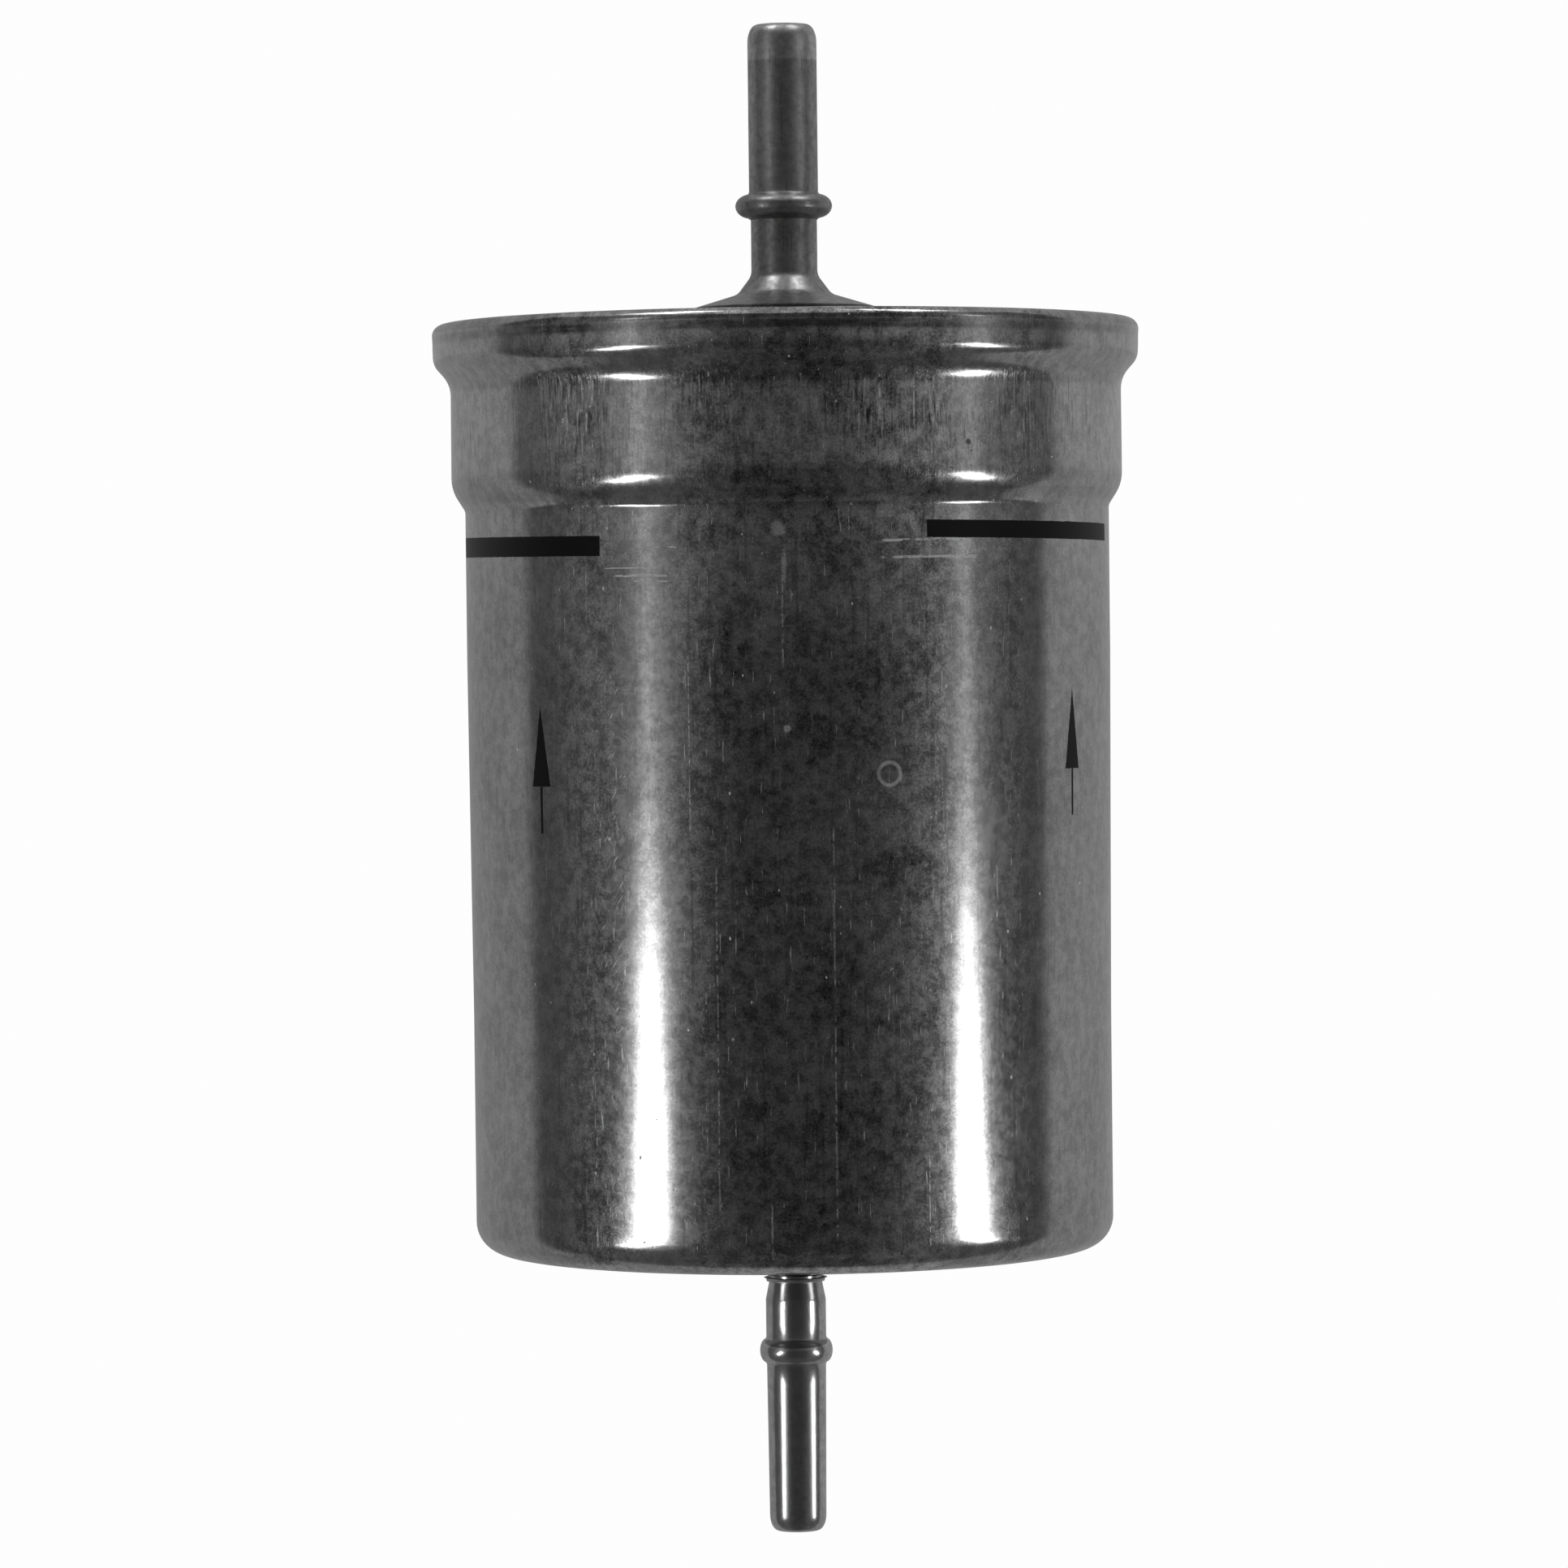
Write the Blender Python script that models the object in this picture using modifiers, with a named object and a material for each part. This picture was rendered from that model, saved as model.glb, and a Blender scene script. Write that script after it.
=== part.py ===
"""In-line fuel filter: a drawn can with a rolled-in lid, two tube stubs and a sprung pleated element.

Frame: +Z runs up the axis, from the inlet towards the outlet. The origin is on the axis, halfway up the
straight body, where the bracket's strap grips it. Profiles are written in millimetres as (radius, height,
corner radius) and turned about Z; MM brings them to metres.
"""

import math

import bmesh
import bpy
from mathutils import Matrix

MM = 0.001
GAP = 0.3                 # clearance left between pieces that touch

# can
BODY_RADIUS = 36.5        # lower half of the body
BODY_TOP_RADIUS = 36.8    # upper half, a little wider from drawing
BODY_TOP = 41.1           # where the body meets the shoulder
TAPER_TOP = 25.0          # the body narrows between these two heights
TAPER_FOOT = -16.0
BAND_FOOT_RADIUS = 38.35
BAND_FOOT = 44.2
BAND_TOP_RADIUS = 38.31
BAND_TOP = 56.24
RIM_FOOT_RADIUS = 40.27
RIM_FOOT = 59.15
RIM_RADIUS = 40.42
RIM_TOP = 63.0
BASE = -43.0
BASE_CORNER = 2.7
CAN_WALL = 0.8
BOSS_FOOT_RADIUS = 16.5
BOSS_BOTTOM = -46.1
BOSS_LAND_RADIUS = 4.9
BOSS_HOLE_RADIUS = 3.34
LIP_RADIUS = 36.9         # inner edge of the rolled lip

# lid
LID_SHEET = 1.0
LID_EDGE_RADIUS = 39.1
LID_SEAT = 61.9           # top of the flange under the rolled lip
LID_SKIRT_END = 60.0
CHUCK_RADIUS = 35.6       # wall that drops from the flange into the groove
GROOVE_BOTTOM = 57.6
GROOVE_INNER_RADIUS = 33.2
PANEL_RADIUS = 31.0
PANEL_EDGE = 60.3
CONE_FOOT_RADIUS = 15.5
LID_HOLE_RADIUS = 4.0
CONE_SLOPE = 0.304        # fall of the lid's raised centre per unit of radius
CONE_START = (5.4, 66.23) # radius and height on top of the trumpet foot
LID_DROP = 1.25           # trumpet foot's top surface down to the lid's

# sealing ring in the closure
GASKET_INNER = 36.9
GASKET_OUTER = 37.8
GASKET_BOTTOM = 57.7
GASKET_TOP = 60.6

# outlet stub
OUTLET_TIP = 97.0
OUTLET_RADIUS = 3.945
OUTLET_NECK_RADIUS = 3.78
OUTLET_BORE = 2.95
OUTLET_LIP_RADIUS = 2.85  # outside of the flat end face; the end is rounded from here
OUTLET_LIP_HOLE = 2.55
OUTLET_ROUNDING = 2.0     # length of the rounded end
OUTLET_BEAD = 76.3
OUTLET_BEAD_RADIUS = 5.53
OUTLET_BEAD_HOLLOW = 1.4
TRUMPET_TOP = 68.9        # where the neck starts to open into the trumpet foot
TRUMPET_RADIUS = 10.4
TRUMPET_SHEET = 0.9

# inlet stub
INLET_TIP = -75.5
INLET_END = -44.3
INLET_TIP_RADIUS = 3.24   # the shank below the bead narrows towards this
INLET_SHANK_RADIUS = 3.39
INLET_RADIUS = 3.44       # above the bead
INLET_SHOULDER = -48.9
INLET_NECK_RADIUS = 3.04
INLET_NECK = -46.9
INLET_BORE = 2.4
INLET_LIP_RADIUS = 2.3
INLET_LIP_HOLE = 2.0
INLET_ROUNDING = 1.8
INLET_BEAD = -54.8
INLET_BEAD_RADIUS = 4.17
INLET_BEAD_HOLLOW = 0.8
BEAD_HALF_HEIGHT = 1.55
LIP_DEPTH = 1.5           # how far inside an end the bore reaches its full width

# braze fillets
OUTLET_BRAZE_REACH = 1.6
OUTLET_BRAZE_RISE = 0.3
INLET_BRAZE_REACH = 1.15
INLET_BRAZE_DROP = 0.75

# spigot, seal and its washer
SPIGOT_RADIUS = 4.6
SPIGOT_SHEET = 0.6
SPIGOT_FLANGE_RADIUS = 7.3
SPIGOT_END = 52.0
SPIGOT_DROP = 3.33        # trumpet foot's top surface down to the flange's underside
SEAL_SECTION = 1.0
SEAL_RADIUS = 5.95
SEAL_HEIGHT = 59.8
WASHER_HOLE_RADIUS = 5.0
WASHER_RADIUS = 6.85
WASHER_SHEET = 1.0

# element
CAP_SHEET = 0.7
CAP_RADIUS = 31.7
CAP_SKIRT = 3.4
UPPER_CAP_TOP = 56.0
HUB_TOP = 61.8
HUB_RADIUS = 7.9
HUB_HOLE_RADIUS = 5.2
LOWER_CAP_BOTTOM = -30.5
LOWER_BOSS_BOTTOM = -34.5
LOWER_BOSS_RADIUS = 9.8
POTTING_HEIGHT = 1.4
POTTING_RADIUS = 30.6
POTTING_HOLE_RADIUS = 12.5
PAPER = 0.55
PLEATS = 44
PLEAT_OUTER_RADIUS = 30.3
PLEAT_INNER_RADIUS = 15.3
FOLD_OUTER_HALF = 0.7
FOLD_INNER_HALF = 0.5
SEAM_HALF = 0.43          # the paper's two ends stand this far each side of the seam
CLIP_SHEET = 0.4
CLIP_HALF = 1.0           # inside the clip, from its middle to a wall
CLIP_MOUTH_RADIUS = 26.5
CLIP_SHORTER = 0.5        # clip's ends inside the paper's ends
CORE_RADIUS = 14.5
CORE_WALL = 0.6
CORE_HOLE_RADIUS = 2.8
CORE_HOLE_ROWS = 4
CORE_HOLE_COLUMNS = 8
STRAINER_RADIUS = 13.5
STRAINER_WALL = 0.35

# spring and support plate
WIRE_RADIUS = 0.7
SPRING_RADIUS = 11.2
SPRING_END_PITCH = 1.65
SPRING_END_TURNS = 1.0
SPRING_TURNS = 3.5
COIL_STEPS = 14
PLATE_SHEET = 0.9
PLATE_RADIUS = 35.2
PLATE_RIM_TOP = -37.5
PLATE_FOOT_RADIUS = 27.0  # the ring that stands on the can's base ends here
PLATE_LAND_RADIUS = 23.5
PLATE_LAND = -39.5        # top of the raised land that carries the spring
PLATE_HUB_RADIUS = 8.3
PLATE_HUB_RISE = 1.2
PLATE_HOLE_RADIUS = 2.0
FLOW_HOLES = 8
FLOW_HOLE_RADIUS = 2.6
FLOW_HOLE_CIRCLE = 17.0

LARGE = 36                # segments of the can and its lid
MEDIUM = 28               # of the element's pieces and the plate
SMALL = 24                # of the stubs and the seal

CUTTER_LENGTH = 5.0

PARTS_COLLECTION = "fuel_filter"
CUTTERS_COLLECTION = "cutters"


def clear_scene():
    for old in list(bpy.data.objects):
        bpy.data.objects.remove(old, do_unlink=True)


def make_collection(name):
    collection = bpy.data.collections.new(name)
    bpy.context.scene.collection.children.link(collection)
    return collection


def material(name, color, metallic, roughness):
    made = bpy.data.materials.new(name)
    made.use_nodes = True
    shader = made.node_tree.nodes["Principled BSDF"]
    shader.inputs["Base Color"].default_value = (*color, 1.0)
    shader.inputs["Metallic"].default_value = metallic
    shader.inputs["Roughness"].default_value = roughness
    made.diffuse_color = (*color, 1.0)
    return made


def rounded(corners, quarter_steps=3):
    """Turn (radius, height, corner radius) points into a path with its corners replaced by arcs."""
    path = []
    last = len(corners) - 1
    for index, corner in enumerate(corners):
        point = (corner[0], corner[1])
        fillet = corner[2] if len(corner) > 2 else 0.0
        if fillet <= 0.0 or index in (0, last):
            path.append(point)
            continue
        back = unit(point, corners[index - 1])
        ahead = unit(point, corners[index + 1])
        half = 0.5 * math.acos(max(-1.0, min(1.0, back[0] * ahead[0] + back[1] * ahead[1])))
        reach = fillet / math.sin(half)
        middle = unit((0.0, 0.0), (back[0] + ahead[0], back[1] + ahead[1]))
        centre = (point[0] + middle[0] * reach, point[1] + middle[1] * reach)
        tangent = fillet / math.tan(half)
        start = (point[0] + back[0] * tangent, point[1] + back[1] * tangent)
        begin = math.atan2(start[1] - centre[1], start[0] - centre[0])
        sweep = math.pi - 2.0 * half
        side = back[0] * ahead[1] - back[1] * ahead[0]
        sweep = -sweep if side > 0.0 else sweep
        steps = max(1, math.ceil(abs(sweep) / (0.5 * math.pi) * quarter_steps - 0.25))
        for step in range(steps + 1):
            angle = begin + sweep * step / steps
            path.append((centre[0] + fillet * math.cos(angle), centre[1] + fillet * math.sin(angle)))
    return path


def unit(start, end):
    """Unit vector from start towards end."""
    across, up = end[0] - start[0], end[1] - start[1]
    length = math.hypot(across, up)
    return across / length, up / length


def sheet(path, thickness):
    """Closed outline of a sheet: the path, and its copy moved to the path's right by the thickness."""
    inner = []
    last = len(path) - 1
    for index, point in enumerate(path):
        before = unit(path[max(index - 1, 0)], path[max(index, 1)])
        after = unit(path[min(index, last - 1)], path[min(index + 1, last)])
        bisector = unit((0.0, 0.0), (before[1] + after[1], -before[0] - after[0]))
        reach = thickness / (bisector[0] * before[1] - bisector[1] * before[0])
        inner.append((point[0] + bisector[0] * reach, point[1] + bisector[1] * reach))
    return path + inner[::-1]


def area(outline):
    """Signed area of an outline, positive when it runs anticlockwise."""
    total = 0.0
    for (r0, z0), (r1, z1) in zip(outline, outline[1:] + outline[:1]):
        total += r0 * z1 - r1 * z0
    return 0.5 * total


def turned(name, outline, segments, finish, collection):
    """Turn an outline about Z. It closes on itself, or is open where both its ends lie on the axis."""
    if area(outline) > 0.0:
        outline = outline[::-1]
    on_axis = abs(outline[0][0]) < 1e-6 and abs(outline[-1][0]) < 1e-6
    count = len(outline)
    edges = [(index, (index + 1) % count) for index in range(count - 1 if on_axis else count)]
    mesh = bpy.data.meshes.new(name)
    mesh.from_pydata([(r * MM, 0.0, z * MM) for r, z in outline], edges, [])
    piece = bpy.data.objects.new(name, mesh)
    collection.objects.link(piece)
    mesh.materials.append(finish)
    screw = piece.modifiers.new("turn", "SCREW")
    screw.axis = "Z"
    screw.angle = 2.0 * math.pi
    screw.steps = segments
    screw.render_steps = segments
    screw.use_merge_vertices = on_axis
    screw.merge_threshold = 0.00005
    screw.use_smooth_shade = True
    return piece


def ring(name, inner, outer, bottom, top, segments, finish, collection):
    outline = [(inner, top), (outer, top), (outer, bottom), (inner, bottom)]
    return turned(name, outline, segments, finish, collection)


def cone_height(radius, drop):
    """Height of the raised centre's cone at a radius, a given drop under the trumpet foot's top surface."""
    return CONE_START[1] - (radius - CONE_START[0]) * CONE_SLOPE - drop


def arc(centre_r, centre_z, reach_r, reach_z, start, end, steps):
    """Points on an elliptical arc, angles in degrees from +radius towards +height."""
    points = []
    for step in range(steps + 1):
        angle = math.radians(start + (end - start) * step / steps)
        points.append((centre_r + reach_r * math.cos(angle), centre_z + reach_z * math.sin(angle)))
    return points


def bead(foot_above, foot_below, height, peak):
    """Half-round bead on a tube, from its upper foot to its lower one."""
    foot = 0.5 * (foot_above + foot_below)
    points = arc(foot, height, peak - foot, BEAD_HALF_HEIGHT, 80.0, -80.0, 6)
    return [(foot_above, height + BEAD_HALF_HEIGHT)] + points + [(foot_below, height - BEAD_HALF_HEIGHT)]


def hollow_bead(bore, height, depth):
    """The groove that an upset bead leaves in the bore, from its lower edge up."""
    low, high = height - 0.8 * BEAD_HALF_HEIGHT, height + 0.8 * BEAD_HALF_HEIGHT
    third = 0.25 * BEAD_HALF_HEIGHT
    return [(bore, low), (bore + depth, height - third), (bore + depth, height + third), (bore, high)]


def make_housing_can(finish, parts):
    path = rounded([
        (LIP_RADIUS, RIM_TOP),
        (RIM_RADIUS, RIM_TOP, 0.95),
        (RIM_FOOT_RADIUS, RIM_FOOT, 4.3),
        (BAND_TOP_RADIUS, BAND_TOP, 5.2),
        (BAND_FOOT_RADIUS, BAND_FOOT, 6.0),
        (BODY_TOP_RADIUS, BODY_TOP, 1.6),
        (BODY_TOP_RADIUS, TAPER_TOP),
        (BODY_RADIUS, TAPER_FOOT),
        (BODY_RADIUS, BASE, BASE_CORNER),
        (BOSS_FOOT_RADIUS, BASE, 3.0),
        (BOSS_LAND_RADIUS, BOSS_BOTTOM, 1.2),
        (BOSS_HOLE_RADIUS, BOSS_BOTTOM),
    ])
    return turned("housing_can", sheet(path, CAN_WALL), LARGE, finish, parts)


def make_end_cover(finish, parts):
    path = rounded([
        (LID_HOLE_RADIUS, cone_height(LID_HOLE_RADIUS, LID_DROP)),
        (CONE_FOOT_RADIUS, cone_height(CONE_FOOT_RADIUS, LID_DROP), 12.0),
        (PANEL_RADIUS, PANEL_EDGE, 1.4),
        (GROOVE_INNER_RADIUS, GROOVE_BOTTOM, 1.0),
        (CHUCK_RADIUS, GROOVE_BOTTOM, 1.0),
        (CHUCK_RADIUS, LID_SEAT, 1.2),
        (LID_EDGE_RADIUS, LID_SEAT, 1.2),
        (LID_EDGE_RADIUS, LID_SKIRT_END),
    ], 2)
    return turned("end_cover", sheet(path, LID_SHEET), LARGE, finish, parts)


def make_seam_gasket(finish, parts):
    return ring("seam_gasket", GASKET_INNER, GASKET_OUTER, GASKET_BOTTOM, GASKET_TOP, LARGE, finish, parts)


def make_outlet_tube(finish, parts):
    rounding = OUTLET_RADIUS - OUTLET_LIP_RADIUS
    outer = [(OUTLET_LIP_HOLE, OUTLET_TIP)]
    outer += arc(OUTLET_LIP_RADIUS, OUTLET_TIP - OUTLET_ROUNDING, rounding, OUTLET_ROUNDING, 90.0, 0.0, 4)
    outer += bead(OUTLET_RADIUS, OUTLET_NECK_RADIUS, OUTLET_BEAD, OUTLET_BEAD_RADIUS)
    foot = rounded([
        (OUTLET_NECK_RADIUS, TRUMPET_TOP + 3.1),
        (OUTLET_NECK_RADIUS, TRUMPET_TOP, 3.4),
        (CONE_START[0], CONE_START[1], 1.6),
        (TRUMPET_RADIUS, cone_height(TRUMPET_RADIUS, 0.0)),
    ])
    inner = sheet(foot, TRUMPET_SHEET)[len(foot):]
    neck = [(OUTLET_BORE, inner[-1][1])]
    bore = hollow_bead(OUTLET_BORE, OUTLET_BEAD, OUTLET_BEAD_HOLLOW)
    bore += [(OUTLET_BORE, OUTLET_TIP - LIP_DEPTH)]
    return turned("outlet_tube", outer + foot[1:] + inner[:-1] + neck + bore, SMALL, finish, parts)


def make_inlet_tube(finish, parts):
    rounding = INLET_TIP_RADIUS - INLET_LIP_RADIUS
    outer = rounded([
        (INLET_NECK_RADIUS, INLET_END),
        (INLET_NECK_RADIUS, INLET_NECK, 1.5),
        (INLET_RADIUS, INLET_SHOULDER, 1.5),
        (INLET_RADIUS, INLET_SHOULDER - 1.1),
    ], 6)
    outer += bead(INLET_RADIUS, INLET_SHANK_RADIUS, INLET_BEAD, INLET_BEAD_RADIUS)
    outer += arc(INLET_LIP_RADIUS, INLET_TIP + INLET_ROUNDING, rounding, INLET_ROUNDING, 0.0, -90.0, 4)
    outer += [(INLET_LIP_HOLE, INLET_TIP)]
    bore = [(INLET_BORE, INLET_TIP + LIP_DEPTH)]
    bore += hollow_bead(INLET_BORE, INLET_BEAD, INLET_BEAD_HOLLOW)
    bore += [(INLET_BORE, INLET_END)]
    return turned("inlet_tube", outer + bore, SMALL, finish, parts)


def make_outlet_braze_ring(finish, parts):
    near, far = TRUMPET_RADIUS + GAP, TRUMPET_RADIUS + OUTLET_BRAZE_REACH
    top = cone_height(near, TRUMPET_SHEET) + GAP + OUTLET_BRAZE_RISE
    outline = [(near, top), (0.75 * near + 0.25 * far, top - OUTLET_BRAZE_RISE),
               (far, cone_height(far, LID_DROP) + GAP), (near, cone_height(near, LID_DROP) + GAP)]
    return turned("outlet_braze_ring", outline, MEDIUM, finish, parts)


def make_inlet_braze_ring(finish, parts):
    near, far = BOSS_HOLE_RADIUS, BOSS_HOLE_RADIUS + INLET_BRAZE_REACH
    seat = BOSS_BOTTOM - GAP
    outline = [(near, seat), (far, seat), (0.75 * near + 0.25 * far, seat - 0.4 * INLET_BRAZE_DROP),
               (near, seat - INLET_BRAZE_DROP)]
    return turned("inlet_braze_ring", outline, SMALL, finish, parts)


def make_outlet_spigot(finish, parts):
    path = rounded([
        (SPIGOT_FLANGE_RADIUS, cone_height(SPIGOT_FLANGE_RADIUS, SPIGOT_DROP)),
        (SPIGOT_RADIUS, cone_height(SPIGOT_RADIUS, SPIGOT_DROP), 0.8),
        (SPIGOT_RADIUS, SPIGOT_END),
    ])
    return turned("outlet_spigot", sheet(path, SPIGOT_SHEET), SMALL, finish, parts)


def make_outlet_seal(finish, parts):
    outline = arc(SEAL_RADIUS, SEAL_HEIGHT, SEAL_SECTION, SEAL_SECTION, 0.0, 324.0, 9)
    return turned("outlet_seal", outline, SMALL, finish, parts)


def make_seal_retainer(finish, parts):
    top = SEAL_HEIGHT - SEAL_SECTION - GAP
    bottom = top - WASHER_SHEET
    return ring("seal_retainer", WASHER_HOLE_RADIUS, WASHER_RADIUS, bottom, top, SMALL, finish, parts)


def make_upper_end_cap(finish, parts):
    path = rounded([
        (HUB_HOLE_RADIUS, HUB_TOP),
        (HUB_RADIUS, HUB_TOP, 0.8),
        (HUB_RADIUS, UPPER_CAP_TOP, 0.8),
        (CAP_RADIUS, UPPER_CAP_TOP, 1.2),
        (CAP_RADIUS, UPPER_CAP_TOP - CAP_SKIRT),
    ], 2)
    return turned("upper_end_cap", sheet(path, CAP_SHEET), MEDIUM, finish, parts)


def make_lower_end_cap(finish, parts):
    path = rounded([
        (CAP_RADIUS, LOWER_CAP_BOTTOM + CAP_SKIRT),
        (CAP_RADIUS, LOWER_CAP_BOTTOM, 1.2),
        (LOWER_BOSS_RADIUS, LOWER_CAP_BOTTOM, 0.8),
        (LOWER_BOSS_RADIUS, LOWER_BOSS_BOTTOM, 1.0),
        (0.0, LOWER_BOSS_BOTTOM),
    ], 2)
    return turned("lower_end_cap", sheet(path, CAP_SHEET), MEDIUM, finish, parts)


def potting_bounds():
    """Heights of the upper and the lower potting, each (bottom, top)."""
    upper_top = UPPER_CAP_TOP - CAP_SHEET - GAP
    lower_bottom = LOWER_CAP_BOTTOM + CAP_SHEET + GAP
    return (upper_top - POTTING_HEIGHT, upper_top), (lower_bottom, lower_bottom + POTTING_HEIGHT)


def media_bounds():
    """Lowest and highest height of the paper, the core and the strainer."""
    upper, lower = potting_bounds()
    return lower[1] + GAP, upper[0] - GAP


def make_potting(finish, parts):
    upper, lower = potting_bounds()
    for name, (bottom, top) in (("upper_potting", upper), ("lower_potting", lower)):
        ring(name, POTTING_HOLE_RADIUS, POTTING_RADIUS, bottom, top, MEDIUM, finish, parts)


def pleat_line():
    """Centre line of the paper: every pleat's two walls and flat folds, open at the seam on +X."""
    pitch = 2.0 * math.pi / PLEATS
    end_radius = PLEAT_OUTER_RADIUS - 0.2
    end_angle = SEAM_HALF / PLEAT_OUTER_RADIUS
    line = [(end_radius, end_angle)]
    for pleat in range(PLEATS):
        valley = (pleat + 0.5) * pitch
        crest = (pleat + 1.0) * pitch
        inner = FOLD_INNER_HALF / PLEAT_INNER_RADIUS
        outer = FOLD_OUTER_HALF / PLEAT_OUTER_RADIUS
        line += [(PLEAT_INNER_RADIUS, valley - inner), (PLEAT_INNER_RADIUS, valley + inner)]
        if pleat < PLEATS - 1:
            line += [(PLEAT_OUTER_RADIUS, crest - outer), (PLEAT_OUTER_RADIUS, crest + outer)]
    line.append((end_radius, -end_angle))
    return [(radius * math.cos(angle), radius * math.sin(angle)) for radius, angle in line]


def extruded(name, outline, bottom, top, finish, collection):
    """A flat outline filled and given its height, as a 2D curve."""
    curve = bpy.data.curves.new(name, "CURVE")
    curve.dimensions = "2D"
    curve.fill_mode = "BOTH"
    curve.extrude = 0.5 * (top - bottom) * MM
    spline = curve.splines.new("POLY")
    spline.points.add(len(outline) - 1)
    for point, (x, y) in zip(spline.points, outline):
        point.co = (x * MM, y * MM, 0.0, 1.0)
    spline.use_cyclic_u = True
    curve.materials.append(finish)
    piece = bpy.data.objects.new(name, curve)
    piece.location.z = 0.5 * (top + bottom) * MM
    collection.objects.link(piece)
    return piece


def make_pleated_media(finish, parts):
    bottom, top = media_bounds()
    middle = pleat_line()
    left = sheet(middle, 0.5 * PAPER)[len(middle):]
    right = sheet(middle, -0.5 * PAPER)[len(middle):]
    return extruded("pleated_media", left + right[::-1], bottom, top, finish, parts)


def make_media_seam_clip(finish, parts):
    bottom, top = media_bounds()
    inner_end = PLEAT_OUTER_RADIUS + 0.2
    inner, outer = CLIP_HALF, CLIP_HALF + CLIP_SHEET
    mouth, outer_end = CLIP_MOUTH_RADIUS, inner_end + CLIP_SHEET
    outline = [(mouth, outer), (outer_end, outer), (outer_end, -outer), (mouth, -outer),
               (mouth, -inner), (inner_end, -inner), (inner_end, inner), (mouth, inner)]
    return extruded("media_seam_clip", outline, bottom + CLIP_SHORTER, top - CLIP_SHORTER, finish, parts)


def cutter_from_cylinders(name, placements, radius, sides, collection):
    """One mesh of separate cylinders, each given as a matrix that places and turns it."""
    mesh = bpy.data.meshes.new(name)
    shape = bmesh.new()
    for placement in placements:
        bmesh.ops.create_cone(shape, cap_ends=True, segments=sides, radius1=radius * MM, radius2=radius * MM,
                              depth=CUTTER_LENGTH * MM, matrix=placement)
    shape.to_mesh(mesh)
    shape.free()
    cutter = bpy.data.objects.new(name, mesh)
    cutter.hide_render = True
    cutter.display_type = "WIRE"
    collection.objects.link(cutter)
    return cutter


def cut(piece, cutter):
    boolean = piece.modifiers.new("cut", "BOOLEAN")
    boolean.operation = "DIFFERENCE"
    boolean.solver = "EXACT"
    boolean.object = cutter


def make_core_tube(finish, parts, cutters):
    bottom, top = media_bounds()
    core = ring("core_tube", CORE_RADIUS - CORE_WALL, CORE_RADIUS, bottom, top, MEDIUM, finish, parts)
    placements = []
    for row in range(CORE_HOLE_ROWS):
        height = bottom + (row + 0.5) * (top - bottom) / CORE_HOLE_ROWS
        for column in range(CORE_HOLE_COLUMNS):
            turn = 2.0 * math.pi * (column + 0.5 * (row % 2)) / CORE_HOLE_COLUMNS
            placements.append(
                Matrix.Translation((0.0, 0.0, height * MM))
                @ Matrix.Rotation(turn, 4, "Z")
                @ Matrix.Translation((CORE_RADIUS * MM, 0.0, 0.0))
                @ Matrix.Rotation(0.5 * math.pi, 4, "Y")
            )
    cut(core, cutter_from_cylinders("core_hole_cutter", placements, CORE_HOLE_RADIUS, 8, cutters))
    return core


def make_lint_strainer(finish, parts):
    bottom, top = media_bounds()
    inner = STRAINER_RADIUS - STRAINER_WALL
    return ring("lint_strainer", inner, STRAINER_RADIUS, bottom, top, MEDIUM, finish, parts)


def make_support_plate(finish, parts, cutters):
    land = PLATE_LAND - PLATE_SHEET
    hub = land + PLATE_HUB_RISE
    foot = BASE + CAN_WALL + GAP
    path = rounded([
        (PLATE_RADIUS, PLATE_RIM_TOP),
        (PLATE_RADIUS, foot, 2.4),
        (PLATE_FOOT_RADIUS, foot, 1.5),
        (PLATE_LAND_RADIUS, land, 1.5),
        (PLATE_HUB_RADIUS + 1.2, land, 1.2),
        (PLATE_HUB_RADIUS, hub, 1.2),
        (PLATE_HOLE_RADIUS, hub),
    ], 2)
    plate = turned("support_plate", sheet(path, PLATE_SHEET), MEDIUM, finish, parts)
    placements = []
    for hole in range(FLOW_HOLES):
        turn = 2.0 * math.pi * (hole + 0.5) / FLOW_HOLES
        x, y = FLOW_HOLE_CIRCLE * math.cos(turn), FLOW_HOLE_CIRCLE * math.sin(turn)
        placements.append(Matrix.Translation((x * MM, y * MM, PLATE_LAND * MM)))
    cut(plate, cutter_from_cylinders("flow_hole_cutter", placements, FLOW_HOLE_RADIUS, 16, cutters))
    return plate


def make_support_spring(finish, parts):
    bottom = PLATE_LAND + GAP + WIRE_RADIUS
    top = LOWER_CAP_BOTTOM - GAP - WIRE_RADIUS
    middle_turns = SPRING_TURNS - 2.0 * SPRING_END_TURNS
    middle_pitch = (top - bottom - 2.0 * SPRING_END_PITCH * SPRING_END_TURNS) / middle_turns
    curve = bpy.data.curves.new("support_spring", "CURVE")
    curve.dimensions = "3D"
    curve.bevel_depth = WIRE_RADIUS * MM
    curve.bevel_resolution = 2
    curve.use_fill_caps = True
    spline = curve.splines.new("POLY")
    steps = int(SPRING_TURNS * COIL_STEPS)
    spline.points.add(steps)
    for step, point in enumerate(spline.points):
        turns = SPRING_TURNS * step / steps
        low = min(turns, SPRING_END_TURNS)
        high = max(turns - SPRING_TURNS + SPRING_END_TURNS, 0.0)
        rise = (low + high) * SPRING_END_PITCH + (turns - low - high) * middle_pitch
        angle = 2.0 * math.pi * turns
        x, y = SPRING_RADIUS * math.cos(angle), SPRING_RADIUS * math.sin(angle)
        point.co = (x * MM, y * MM, (bottom + rise) * MM, 1.0)
    curve.materials.append(finish)
    spring = bpy.data.objects.new("support_spring", curve)
    parts.objects.link(spring)
    return spring


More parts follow.
